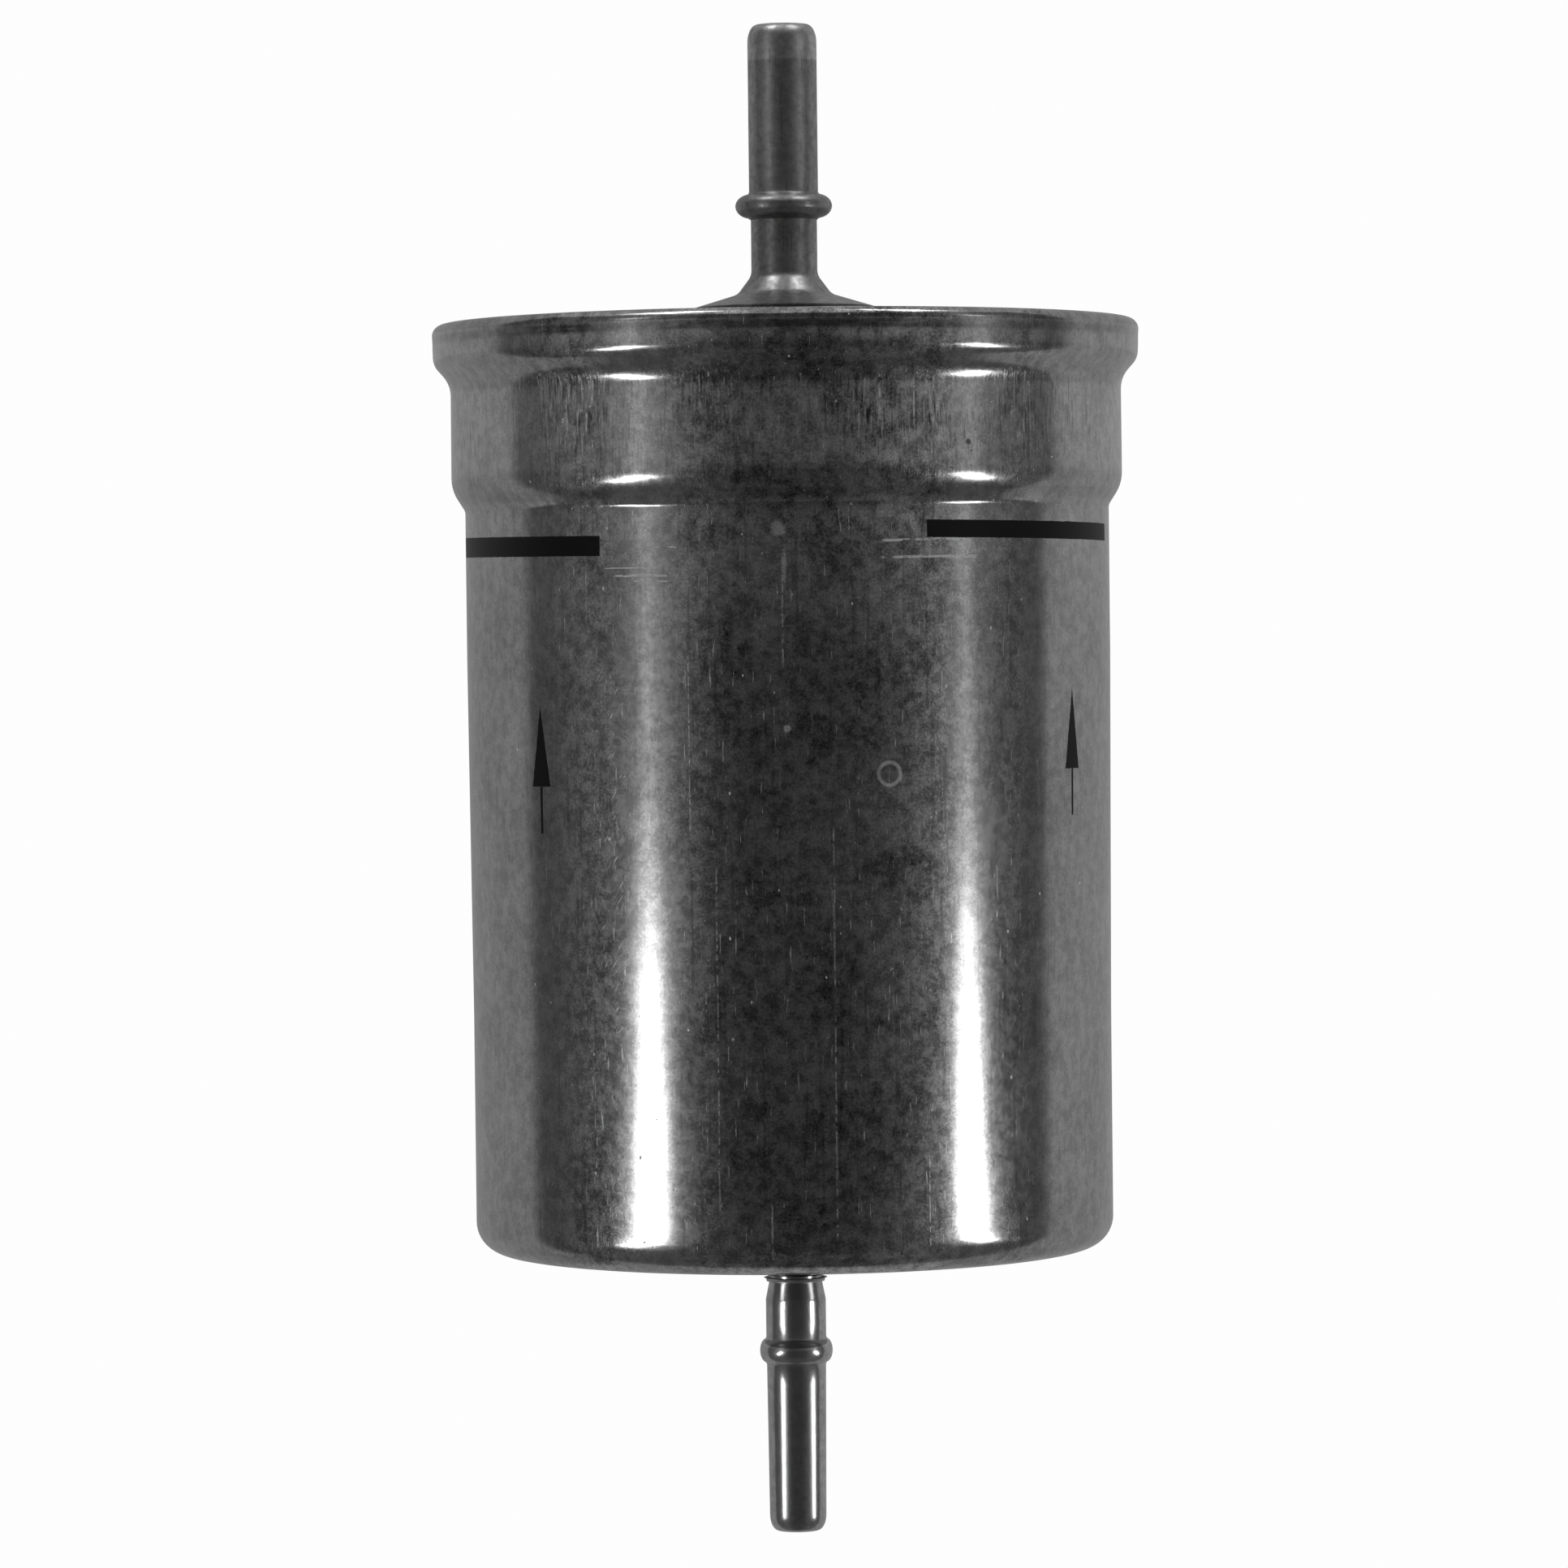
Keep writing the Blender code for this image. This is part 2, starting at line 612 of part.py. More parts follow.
def main():
    clear_scene()
    parts = make_collection(PARTS_COLLECTION)
    cutters = make_collection(CUTTERS_COLLECTION)
    plated = material("plated_steel", (0.33, 0.33, 0.325), 1.0, 0.36)
    make_housing_can(plated, parts)
    make_end_cover(material("lid_steel", (0.35, 0.35, 0.345), 1.0, 0.4), parts)
    make_outlet_tube(material("dull_tube", (0.38, 0.38, 0.375), 1.0, 0.45), parts)
    make_inlet_tube(material("bright_tube", (0.5, 0.5, 0.49), 1.0, 0.15), parts)
    braze = material("braze", (0.42, 0.4, 0.36), 1.0, 0.4)
    make_outlet_braze_ring(braze, parts)
    make_inlet_braze_ring(braze, parts)
    make_outlet_spigot(material("spigot_steel", (0.45, 0.45, 0.44), 1.0, 0.3), parts)
    make_seam_gasket(material("seam_rubber", (0.03, 0.03, 0.03), 0.0, 0.6), parts)
    make_outlet_seal(material("seal_rubber", (0.02, 0.02, 0.02), 0.0, 0.5), parts)
    make_seal_retainer(material("retainer_steel", (0.5, 0.5, 0.48), 1.0, 0.3), parts)
    cap_steel = material("cap_steel", (0.5, 0.5, 0.48), 1.0, 0.35)
    make_upper_end_cap(cap_steel, parts)
    make_lower_end_cap(cap_steel, parts)
    make_potting(material("potting", (0.06, 0.12, 0.2), 0.0, 0.5), parts)
    make_pleated_media(material("filter_paper", (0.62, 0.45, 0.2), 0.0, 0.9), parts)
    make_media_seam_clip(material("clip_steel", (0.5, 0.5, 0.5), 1.0, 0.3), parts)
    make_core_tube(material("core_steel", (0.5, 0.5, 0.48), 1.0, 0.35), parts, cutters)
    make_lint_strainer(material("gauze", (0.7, 0.7, 0.66), 0.0, 0.7), parts)
    make_support_plate(material("plate_steel", (0.45, 0.45, 0.44), 1.0, 0.35), parts, cutters)
    make_support_spring(material("spring_steel", (0.25, 0.25, 0.25), 1.0, 0.3), parts)


main()
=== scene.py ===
"""Looks of an in-line fuel filter: fine surfaces, finishes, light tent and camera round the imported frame.

Profiles are in millimetres, as (radius, height, corner radius), turned about Z; MM brings them to metres.
Angles round the can start at the side that faces the camera (-Y) and grow towards +X.
"""

import math

import bmesh
import bpy
import numpy as np
from mathutils import Matrix, Vector


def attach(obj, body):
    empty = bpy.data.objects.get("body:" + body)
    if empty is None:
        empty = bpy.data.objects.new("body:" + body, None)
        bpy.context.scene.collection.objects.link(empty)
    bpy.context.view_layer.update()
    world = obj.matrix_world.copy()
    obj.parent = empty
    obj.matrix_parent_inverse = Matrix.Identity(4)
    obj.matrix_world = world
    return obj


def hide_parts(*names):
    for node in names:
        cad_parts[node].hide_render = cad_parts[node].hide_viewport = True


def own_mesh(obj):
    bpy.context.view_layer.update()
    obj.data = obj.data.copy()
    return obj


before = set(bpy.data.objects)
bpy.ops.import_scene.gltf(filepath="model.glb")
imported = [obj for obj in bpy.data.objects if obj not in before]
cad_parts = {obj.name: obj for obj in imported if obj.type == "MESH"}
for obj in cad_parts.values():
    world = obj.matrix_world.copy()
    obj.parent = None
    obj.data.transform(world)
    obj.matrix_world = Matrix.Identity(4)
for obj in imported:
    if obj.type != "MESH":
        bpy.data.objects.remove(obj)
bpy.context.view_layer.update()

MM = 0.001

# how finely the surfaces are cut
ARC_STEP = 7.5            # degrees between points on a rounded corner
WALL_STEP = 2.0           # longest step along a profile
CAN_AROUND = 240
STUB_AROUND = 96
SHARP_ANGLE = 35.0        # degrees between faces that stay sharp

# can
MARK_RADIUS = 36.65       # mean radius of the body, for lengths measured round it
CAN_WALL = 0.8
CAN_CORNERS = [
    (36.9, 63.0), (40.42, 63.0, 1.25), (40.27, 58.45, 2.2), (38.31, 56.25, 3.5), (38.35, 44.2, 4.5),
    (36.8, 41.75, 1.1), (36.8, 25.0), (36.5, -16.0), (36.5, -43.0, 3.5), (16.5, -43.0, 3.0),
    (4.6, -45.75, 1.6), (3.34, -46.1),
]
CAN_STEP = 0.9            # longest step along the can's profile
RIM_INNER = 39.5          # the rolled edge is the part of the profile outside this radius
RIM_GROOVE = (0.04, 61.2, 0.35)  # depth, height, half width
DENT_DEPTH, DENT_SEED = 0.014, 3

# lid and the seal in its closure
LID_SHEET = 1.0
LID_HOLE_RADIUS, CONE_FOOT_RADIUS, CHUCK_RADIUS, LID_EDGE_RADIUS = 4.0, 15.5, 35.6, 39.1
GROOVE_BOTTOM, LID_SEAT = 57.6, 61.9
CONE_START = (5.4, 66.23) # radius and height on top of the trumpet foot
CONE_SLOPE = 0.304        # fall of the lid's raised centre per unit of radius
LID_DROP = 1.25           # trumpet foot's top surface down to the lid's
GASKET = (36.9, 37.8, 57.7, 60.6)  # inner and outer radius, bottom, top

# stubs
OUTLET_TIP, OUTLET_RADIUS, OUTLET_NECK, OUTLET_BORE = 97.0, 3.945, 3.78, 2.95
OUTLET_LIP, OUTLET_LIP_HOLE, OUTLET_ROUNDING = 2.85, 2.55, 2.0
OUTLET_BEAD, OUTLET_BEAD_RADIUS, OUTLET_BEAD_HOLLOW = 76.3, 5.53, 1.4
TRUMPET_TOP, TRUMPET_RADIUS, TRUMPET_SHEET = 68.4, 10.4, 0.9
SWAGED_END = 92.7         # the outlet is brighter above this height
INLET_TIP, INLET_END, INLET_TIP_RADIUS, INLET_SHANK, INLET_RADIUS = -75.5, -44.3, 3.24, 3.39, 3.44
INLET_BORE, INLET_LIP, INLET_LIP_HOLE, INLET_ROUNDING = 2.4, 2.3, 2.0, 1.8
INLET_NECK_RADIUS, INLET_NECK, INLET_SHOULDER = 3.04, -46.9, -48.9
INLET_BEAD, INLET_BEAD_RADIUS, INLET_BEAD_HOLLOW = -54.8, 4.17, 0.8
BEAD_HALF_HEIGHT = 1.35
LIP_DEPTH = 1.5

# braze fillets: inner radius, foot, reach, rise
OUTLET_FILLET_RADIUS, OUTLET_FILLET_REACH, OUTLET_FILLET_RISE = 10.7, 1.3, 0.65
INLET_FILLET = (3.34, -46.4, 0.3, -0.4)

# inside
GAP = 0.3                 # clearance between pieces that touch
SPIGOT_RADIUS, SPIGOT_FLANGE_RADIUS, SPIGOT_END, SPIGOT_SHEET, SPIGOT_DROP = 4.6, 7.3, 52.0, 0.6, 3.33
SEAL_HEIGHT, SEAL_RADIUS, SEAL_SECTION = 59.8, 5.95, 1.0
WASHER = (5.0, 6.85, 57.5, 58.5)  # inner and outer radius, bottom, top
CAP_RADIUS, CAP_SHEET, CAP_SKIRT, UPPER_CAP_TOP, LOWER_CAP_BOTTOM = 31.7, 0.7, 3.4, 56.0, -30.5
HUB_HOLE_RADIUS, HUB_RADIUS, HUB_TOP = 5.2, 7.9, 61.8
BOSS_RADIUS, BOSS_BOTTOM = 9.8, -34.5
UPPER_COMPOUND, LOWER_COMPOUND = (12.5, 30.6, 53.6, 55.0), (12.5, 30.6, -29.5, -28.1)
COMPOUND_DISH = 0.12      # how far the lower compound's face sinks halfway across
MEDIA_BOTTOM, MEDIA_TOP, MEDIA_ROWS = -27.8, 53.3, 8
PLEATS, PAPER, PLEAT_OUTER, PLEAT_INNER, FOLD_OUTER, FOLD_INNER = 44, 0.55, 30.3, 15.3, 0.7, 0.5
SEAM_HALF, SEAM_SHORTER = 0.43, 0.2  # the paper's ends: off the seam, inside the folds
CLIP_INNER, CLIP_OUTER, CLIP_HALF, CLIP_SHEET, CLIP_SHORTER = 26.5, 30.7, 1.2, 0.4, 0.5
CORE_RADIUS, CORE_WALL, CORE_HOLE, CORE_ROWS, CORE_COLUMNS = 14.5, 0.6, 2.8, 4, 8
CORE_SIDE, CORE_RINGS = 8, 5  # points on a cell's side, rings from its hole out
WIRE_RADIUS, SPRING_RADIUS, SPRING_TURNS, SPRING_END_PITCH = 0.7, 11.2, 3.5, 1.65
SPRING_FOOT, SPRING_TOP, WIRE_AROUND, TURN_STEPS = -39.2, -30.8, 20, 60

# printed marks: two stripes that fall a little round the can, and two arrows
STRIPE_FALL = 0.0055      # millimetres per degree
STRIPES = [(-100.0, -34.2, 37.5, 2.25), (24.5, 77.7, 38.68, 1.95)]  # from, to (degrees), height, width
ARROWS = [(-48.85, 10.75), (59.3, 12.04)]  # angle, height of the head's foot
ARROW_HEAD, ARROW_HALF_WIDTH, ARROW_SHAFT, SHAFT_HALF_WIDTH = 9.0, 1.55, 5.2, 0.2
PRINT_SOFT = 0.02         # half width of a printed edge

# wear on the can: angles in degrees, the rest in millimetres
SCUFFS = [                # from, to, height, half width
    (16.4, 32.3, 37.62, 0.14), (16.3, 34.0, 35.74, 0.14), (-31.0, -18.3, 34.0, 0.1),
    (-28.0, -21.0, 33.4, 0.06), (-33.0, -24.0, 34.85, 0.05), (-26.0, -19.5, 37.1, 0.05),
]
RUBS = [                  # angle, from, to (heights), half width, strength
    (16.5, 36.1, 37.4, 0.08, 0.7), (-27.5, 39.6, 41.0, 0.08, 0.6), (-13.0, 39.4, 41.0, 0.07, 0.5),
    (10.5, 38.6, 41.0, 0.06, 0.6), (21.5, 39.3, 40.3, 0.06, 0.6),
    (15.4, 50.3, 55.5, 0.12, 1.0), (21.3, 50.3, 55.2, 0.1, 0.8), (24.9, 54.2, 55.4, 0.12, 0.8),
    (-13.0, -36.0, 2.0, 0.08, 0.35), (7.3, -39.0, 6.0, 0.09, 0.35), (-3.9, -41.0, -35.0, 0.1, 0.4),
    (-1.0, 24.0, 36.0, 0.1, 0.4), (-17.5, 6.0, 26.0, 0.07, 0.3), (24.0, -40.0, -30.0, 0.08, 0.5),
]
RUB_SOFT = 0.05           # half width of a rubbed line's edge
# painted shade: darker lines along the groove under the rolled edge, the hollow under the roll, the shoulder
# and the base's edge
PAINTED_SHADE = [                 # height, half height, strength
    (61.15, 0.5, 0.72), (57.2, 0.9, 0.3), (42.95, 0.65, 0.42), (-41.6, 0.5, 0.35),
]
# dark spots on the band
DARK_SPOTS = [                  # angle, height, radius
    (31.3, 48.3, 0.42), (31.9, 47.3, 0.2), (24.5, 55.1, 0.2), (-4.0, 49.8, 0.2), (12.5, 47.0, 0.15),
]
SMUDGES = [               # angle, height, half length round, half height, strength
    (-1.7, 39.0, 1.0, 1.0, 0.5), (-0.65, 34.9, 0.32, 2.0, 0.45), (-0.43, 17.1, 0.5, 0.45, 0.55),
]
RING_ANGLE, RING_HEIGHT, RING_RADIUS, RING_HALF_WIDTH, RING_STRENGTH = 17.25, 12.0, 1.25, 0.2, 0.42
SCRATCH_COLUMNS = [       # angle, spacing, share of the places with a scratch, seed
    (-31.4, 2.3, 0.8, 3.0), (-33.6, 4.6, 0.5, 11.0), (17.0, 9.0, 0.4, 31.0), (30.0, 7.0, 0.5, 41.0),
]
SCRATCH_LOW, SCRATCH_HIGH, SCRATCH_FADE = -17.0, 24.0, 2.0
SCRATCH_LEAN, SCRATCH_SCATTER = 55.0, 1.6  # degrees, and millimetres to either side in all

# tone and roughness of the can, its wear and its print
CAN_ROUGH, WEAR_TONE, WEAR_ROUGH, INK_TONE, INK_ROUGH = 0.17, 0.9, 0.6, 0.008, 0.42
# where the clouds and marks grow faint: ramps are from, to, and the strengths at each
SIDE_CALM, FRONT_CALM = (36.0, 50.0, 1.0, 0.4), (5.0, 15.0, 0.25, 1.0)  # degrees to either side
BELOW_RIM = (57.4, 55.4)  # heights
RUBBED_STRIPS, RUBBED_CALM = [(-25.0, 7.0), (33.5, 6.0)], 0.42  # angle, half width

# camera
CAMERA_DISTANCE, CAMERA_HEIGHT, AIM_HEIGHT, CAMERA_SIDE = 0.771, 0.0281, 0.0102, -0.0007
CAMERA_ROLL = -0.64       # degrees
LENS, SENSOR = 154.5, 36.0

# studio
FLOOR_HEIGHT = -0.34
TENT_RADIUS, TENT_HIGH = 0.42, 0.5
STRIP_HEIGHTS = [-140.0, -105.0, -80.0, 60.0]  # the two light strips lean outwards lower down
STRIP_LEFT = [-59.0, -56.0, -50.1, -48.9]
STRIP_RIGHT = [69.8, 68.2, 63.2, 62.6]
SIDE_SHEETS = [(100.0, -1.0, 0.20), (97.0, 1.0, 0.235)]  # where each begins, its side, its glow
FRONT_GLOW, WORLD_GLOW = 0.042, 0.1
CEILING_GLOW, PATCH_GLOW, CEILING_PATCHES = 0.34, 6.0, [-64.0, 66.0]
FLOOR_RADII = [0.001, 0.05, 0.1, 0.15, 0.2, 0.25, 0.3, 0.35, 0.4, 0.6, 3.0]
WHITE = 0.985             # what the camera sees behind the object


# ---------------- shapes


def unit(vector):
    return vector / np.linalg.norm(vector)


def rounded(corners, step=ARC_STEP):
    """Path through the corners, each replaced by centre + radius * (cos a, sin a) between its tangents."""
    points = [np.array([corners[0][:2]], float)]
    for before, corner, after in zip(corners, corners[1:], corners[2:]):
        here = np.array(corner[:2], float)
        radius = corner[2] if len(corner) > 2 else 0.0
        if radius == 0.0:
            points.append(here[None])
            continue
        back, ahead = unit(np.array(before[:2]) - here), unit(np.array(after[:2]) - here)
        half = 0.5 * math.acos(np.clip(back @ ahead, -1.0, 1.0))
        centre = here + unit(back + ahead) * radius / math.sin(half)
        start = here + back * radius / math.tan(half) - centre
        sweep = (math.pi - 2.0 * half) * (-1.0 if back[0] * ahead[1] > back[1] * ahead[0] else 1.0)
        count = max(2, math.ceil(abs(math.degrees(sweep)) / step) + 1)
        angle = math.atan2(start[1], start[0]) + np.linspace(0.0, sweep, count)
        points.append(centre + radius * np.column_stack([np.cos(angle), np.sin(angle)]))
    points.append(np.array([corners[-1][:2]], float))
    return np.vstack(points)


def spaced(path, longest=WALL_STEP):
    """The path with each run divided evenly, so that no step is longer than the limit."""
    steps = np.linalg.norm(np.diff(path, axis=0), axis=1)
    pieces = np.maximum(1, np.ceil(steps / longest)).astype(int)
    run = np.repeat(np.arange(len(pieces)), pieces)
    share = (np.arange(pieces.sum()) - np.repeat(np.cumsum(pieces) - pieces, pieces)) / pieces[run]
    return np.vstack([path[run] + share[:, None] * (path[run + 1] - path[run]), path[-1:]])


def sheet(path, thickness):
    """Closed outline of a sheet: the path, then the path moved to its right by the thickness, backwards."""
    runs = np.diff(path, axis=0)
    runs /= np.linalg.norm(runs, axis=1)[:, None]
    before, after = np.vstack([runs[:1], runs]), np.vstack([runs, runs[-1:]])
    middle = before + after
    middle /= np.linalg.norm(middle, axis=1)[:, None]
    right = np.column_stack([middle[:, 1], -middle[:, 0]])
    reach = thickness / np.maximum(0.3, np.sum(middle * before, axis=1))
    return np.vstack([path, (path + right * reach[:, None])[::-1]])


def arc(centre, reach, start, end, count):
    """Points centre + (reach_r cos a, reach_z sin a), with a in degrees from start to end."""
    angle = np.radians(np.linspace(start, end, count))
    return np.column_stack([centre[0] + reach[0] * np.cos(angle), centre[1] + reach[1] * np.sin(angle)])


def bead(foot_above, foot_below, height, peak):
    """Outer profile of an upset bead: half an ellipse between small fillets, from its upper foot down."""
    foot = 0.5 * (foot_above + foot_below)
    swell = arc((foot, height), (peak - foot, BEAD_HALF_HEIGHT), 82.0, -82.0, 25)
    return np.vstack([[foot_above, height + BEAD_HALF_HEIGHT + 0.25], swell,
                      [foot_below, height - BEAD_HALF_HEIGHT - 0.25]])


def hollow_bead(bore, height, depth):
    """The groove that the upset bead leaves in the bore, from its lower edge up: half an ellipse."""
    return arc((bore, height), (depth, 0.8 * BEAD_HALF_HEIGHT), -90.0, 90.0, 13)


def polar(angle, radius, height):
    """Points (r sin a, -r cos a, z) of a grid, as an (n, 3) array."""
    axes = radius * np.sin(angle), -radius * np.cos(angle), height
    return np.stack(np.broadcast_arrays(*axes), axis=2).reshape(-1, 3)


def quads(rows, columns, rows_join=True, columns_join=True, flipped=False):
    """Faces between the points of a grid numbered row by row; the last row or column can join the first."""
    spans = (np.arange(rows - (not rows_join)), np.arange(columns - (not columns_join)))
    i, j = np.meshgrid(*spans, indexing="ij")
    i2, j2 = (i + 1) % rows, (j + 1) % columns
    corners = [i * columns + j, i * columns + j2, i2 * columns + j2, i2 * columns + j]
    if flipped:
        corners[1], corners[3] = corners[3], corners[1]
    return np.stack(corners, axis=2).reshape(-1, 4)


def shaped(name, points, faces):
    """Mesh object from (n, 3) points in millimetres and (m, 4) corners, smooth up to SHARP_ANGLE."""
    mesh = bpy.data.meshes.new(name)
    mesh.vertices.add(len(points))
    mesh.vertices.foreach_set("co", (points * MM).astype(np.float32).ravel())
    mesh.loops.add(faces.size)
    mesh.loops.foreach_set("vertex_index", faces.astype(np.int32).ravel())
    mesh.polygons.add(len(faces))
    mesh.polygons.foreach_set("loop_start", np.arange(0, faces.size, faces.shape[1], dtype=np.int32))
    mesh.update(calc_edges=True)
    mesh.validate()
    mesh.shade_smooth()
    mesh.set_sharp_from_angle(angle=math.radians(SHARP_ANGLE))
    piece = bpy.data.objects.new(name, mesh)
    bpy.context.scene.collection.objects.link(piece)
    return piece


def turned(name, outline, around=STUB_AROUND, wobble=None):
    """Outline turned about Z: point (i, j) is (r sin a_i, -r cos a_i, z_j), with r = r_j less the wobble."""
    following = np.roll(outline, -1, axis=0)
    if np.sum(outline[:, 0] * following[:, 1] - following[:, 0] * outline[:, 1]) > 0.0:
        outline = outline[::-1]
    angle = np.linspace(0.0, 2.0 * math.pi, around, endpoint=False)[:, None]
    radius, height = outline[None, :, 0], outline[None, :, 1]
    radius = radius - (wobble(angle, radius, height) if wobble else 0.0)
    return shaped(name, polar(angle, radius, height), quads(around, len(outline)))


# ---------------- node work


class Wiring:
    """Adds nodes to one tree and joins them, so that a formula reads as one line."""

    def __init__(self, tree):
        self.tree = tree

    def join(self, socket, value):
        if isinstance(value, bpy.types.NodeSocket):
            self.tree.links.new(value, socket)
        elif value is not None:
            socket.default_value = value

    def node(self, kind, inputs=(), **settings):
        made = self.tree.nodes.new(kind)
        for key, value in settings.items():
            setattr(made, key, value)
        for key, value in dict(inputs).items():
            self.join(made.inputs[key], value)
        return made

    def math(self, operation, *values):
        return self.node("ShaderNodeMath", enumerate(values), operation=operation).outputs[0]

    def add(self, a, b):
        return self.math("ADD", a, b)

    def less(self, a, b):
        return self.math("SUBTRACT", a, b)

    def times(self, a, b):
        return self.math("MULTIPLY", a, b)

    def larger(self, a, b):
        return self.math("MAXIMUM", a, b)

    def ramp(self, value, low, high, start=0.0, end=1.0):
        """Smooth step from start at low to end at high."""
        inputs = {0: value, 1: low, 2: high, 3: start, 4: end}
        return self.node("ShaderNodeMapRange", inputs, interpolation_type="SMOOTHSTEP").outputs[0]

    def within(self, value, centre, half, soft):
        """1 where value is nearer to centre than half, falling to 0 over the soft width."""
        off = self.math("ABSOLUTE", self.less(value, centre))
        varies = isinstance(half, bpy.types.NodeSocket)
        low, high = (self.less(half, soft), self.add(half, soft)) if varies else (half - soft, half + soft)
        return self.ramp(off, low, high, 1.0, 0.0)

    def span(self, value, start, end, soft):
        """1 where value lies between start and end."""
        return self.within(value, 0.5 * (start + end), 0.5 * (end - start), soft)

    def distance(self, side, up):
        return self.math("SQRT", self.add(self.times(side, side), self.times(up, up)))

    def noise(self, vector, scale, detail=3.0, roughness=0.55):
        inputs = {"Vector": vector, "Scale": scale, "Detail": detail, "Roughness": roughness}
        return self.node("ShaderNodeTexNoise", inputs).outputs[0]

    def stretched(self, vector, scale):
        return self.node("ShaderNodeMapping", {"Vector": vector, "Scale": scale}).outputs[0]

    def squeezed(self, vector, level, upright):
        """The vector with its level axes and its height multiplied by values that may vary."""
        by = self.node("ShaderNodeCombineXYZ", {0: level, 1: level, 2: upright}).outputs[0]
        return self.node("ShaderNodeVectorMath", {0: vector, 1: by}, operation="MULTIPLY").outputs[0]

    def mix(self, kind, first, result, factor, a, b):
        inputs = {0: factor, first: a, first + 1: b}
        return self.node("ShaderNodeMix", inputs, data_type=kind, clamp_factor=True).outputs[result]

    def blend(self, factor, a, b):
        return self.mix("FLOAT", 2, 0, factor, a, b)

    def tint(self, factor, a, b):
        return self.mix("RGBA", 6, 2, factor, a, b)


def effect(name, inputs, outputs):
    """An empty node group with float inputs (a Vector too) and float outputs, and its wiring."""
    group = bpy.data.node_groups.new(name, "ShaderNodeTree")
    group.interface.new_socket(name="Vector", in_out="INPUT", socket_type="NodeSocketVector")
    for key, value in inputs.items():
        socket = group.interface.new_socket(name=key, in_out="INPUT", socket_type="NodeSocketFloat")
        socket.default_value = value
    for key in outputs:
        group.interface.new_socket(name=key, in_out="OUTPUT", socket_type="NodeSocketFloat")
    wiring = Wiring(group)
    return group, wiring, wiring.node("NodeGroupInput").outputs, wiring.node("NodeGroupOutput").inputs


def round_the_can():
    """Angle in degrees from the camera's side, the length round the body and the height, in millimetres."""
    group, w, given, out = effect("round_the_can", {}, ("Angle", "Around", "Height"))
    axes = w.node("ShaderNodeSeparateXYZ", {0: given["Vector"]}).outputs
    angle = w.math("ARCTAN2", axes["X"], w.times(axes["Y"], -1.0))
    w.join(out["Angle"], w.times(angle, 180.0 / math.pi))
    w.join(out["Around"], w.times(angle, MARK_RADIUS))
    w.join(out["Height"], w.times(axes["Z"], 1.0 / MM))
    return group


def clouding():
    """Cloudy plating: blotches of the given size over broad clouds, and a fine grain. All near 0 to 1."""
    group, w, given, out = effect("clouding", {"Blotch": 2.0, "Grain": 0.25}, ("Cloud", "Grain"))
    blotch = w.noise(given["Vector"], w.math("DIVIDE", 1.0 / MM, given["Blotch"]), 5.0, 0.72)
    broad = w.noise(given["Vector"], w.math("DIVIDE", 0.16 / MM, given["Blotch"]), 2.0, 0.5)
    blotch, broad = w.ramp(blotch, 0.36, 0.64), w.ramp(broad, 0.36, 0.64)
    w.join(out["Cloud"], w.add(w.times(blotch, 0.7), w.times(broad, 0.3)))
    w.join(out["Grain"], w.noise(given["Vector"], w.math("DIVIDE", 1.0 / MM, given["Grain"]), 2.0, 0.6))
    return group


def draw_marks():
    """Streaks along the axis left by the drawing die: noise stretched upwards, kept where it peaks."""
    group, w, given, out = effect("draw_marks", {"Width": 0.5, "Length": 8.0, "Amount": 0.5},
                                  ("Dark", "Bright", "Level"))
    scale = w.math("DIVIDE", 1.0 / MM, given["Width"])
    along = w.squeezed(given["Vector"], scale, w.math("DIVIDE", 1.0 / MM, given["Length"]))
    streak = w.noise(along, 1.0, 2.0, 0.6)
    level = w.blend(given["Amount"], 0.72, 0.5)
    w.join(out["Dark"], w.ramp(streak, level, w.add(level, 0.09)))
    w.join(out["Bright"], w.ramp(w.less(1.0, streak), level, w.add(level, 0.09)))
    w.join(out["Level"], streak)
    return group


def specks():
    """Nicks and specks: round cells of the given spacing, of which a share is kept, each of its own size."""
    group, w, given, out = effect("specks", {"Spacing": 3.0, "Size": 0.2, "Share": 0.3, "Stretch": 1.0},
                                  ("Speck",))
    along = w.squeezed(given["Vector"], 1.0, w.math("DIVIDE", 1.0, given["Stretch"]))
    scale = w.math("DIVIDE", 1.0 / MM, given["Spacing"])
    cell = w.node("ShaderNodeTexVoronoi", {"Vector": along, "Scale": scale})
    pick = w.node("ShaderNodeSeparateColor", {0: cell.outputs["Color"]}).outputs
    chosen = w.math("LESS_THAN", pick[0], given["Share"])
    size = w.times(w.math("DIVIDE", given["Size"], given["Spacing"]), w.add(0.4, pick[1]))
    disc = w.ramp(cell.outputs["Distance"], w.times(size, 0.5), size, 1.0, 0.0)
    w.join(out["Speck"], w.times(chosen, disc))
    return group


GROUPS = {made.name: made for made in (round_the_can(), clouding(), draw_marks(), specks())}


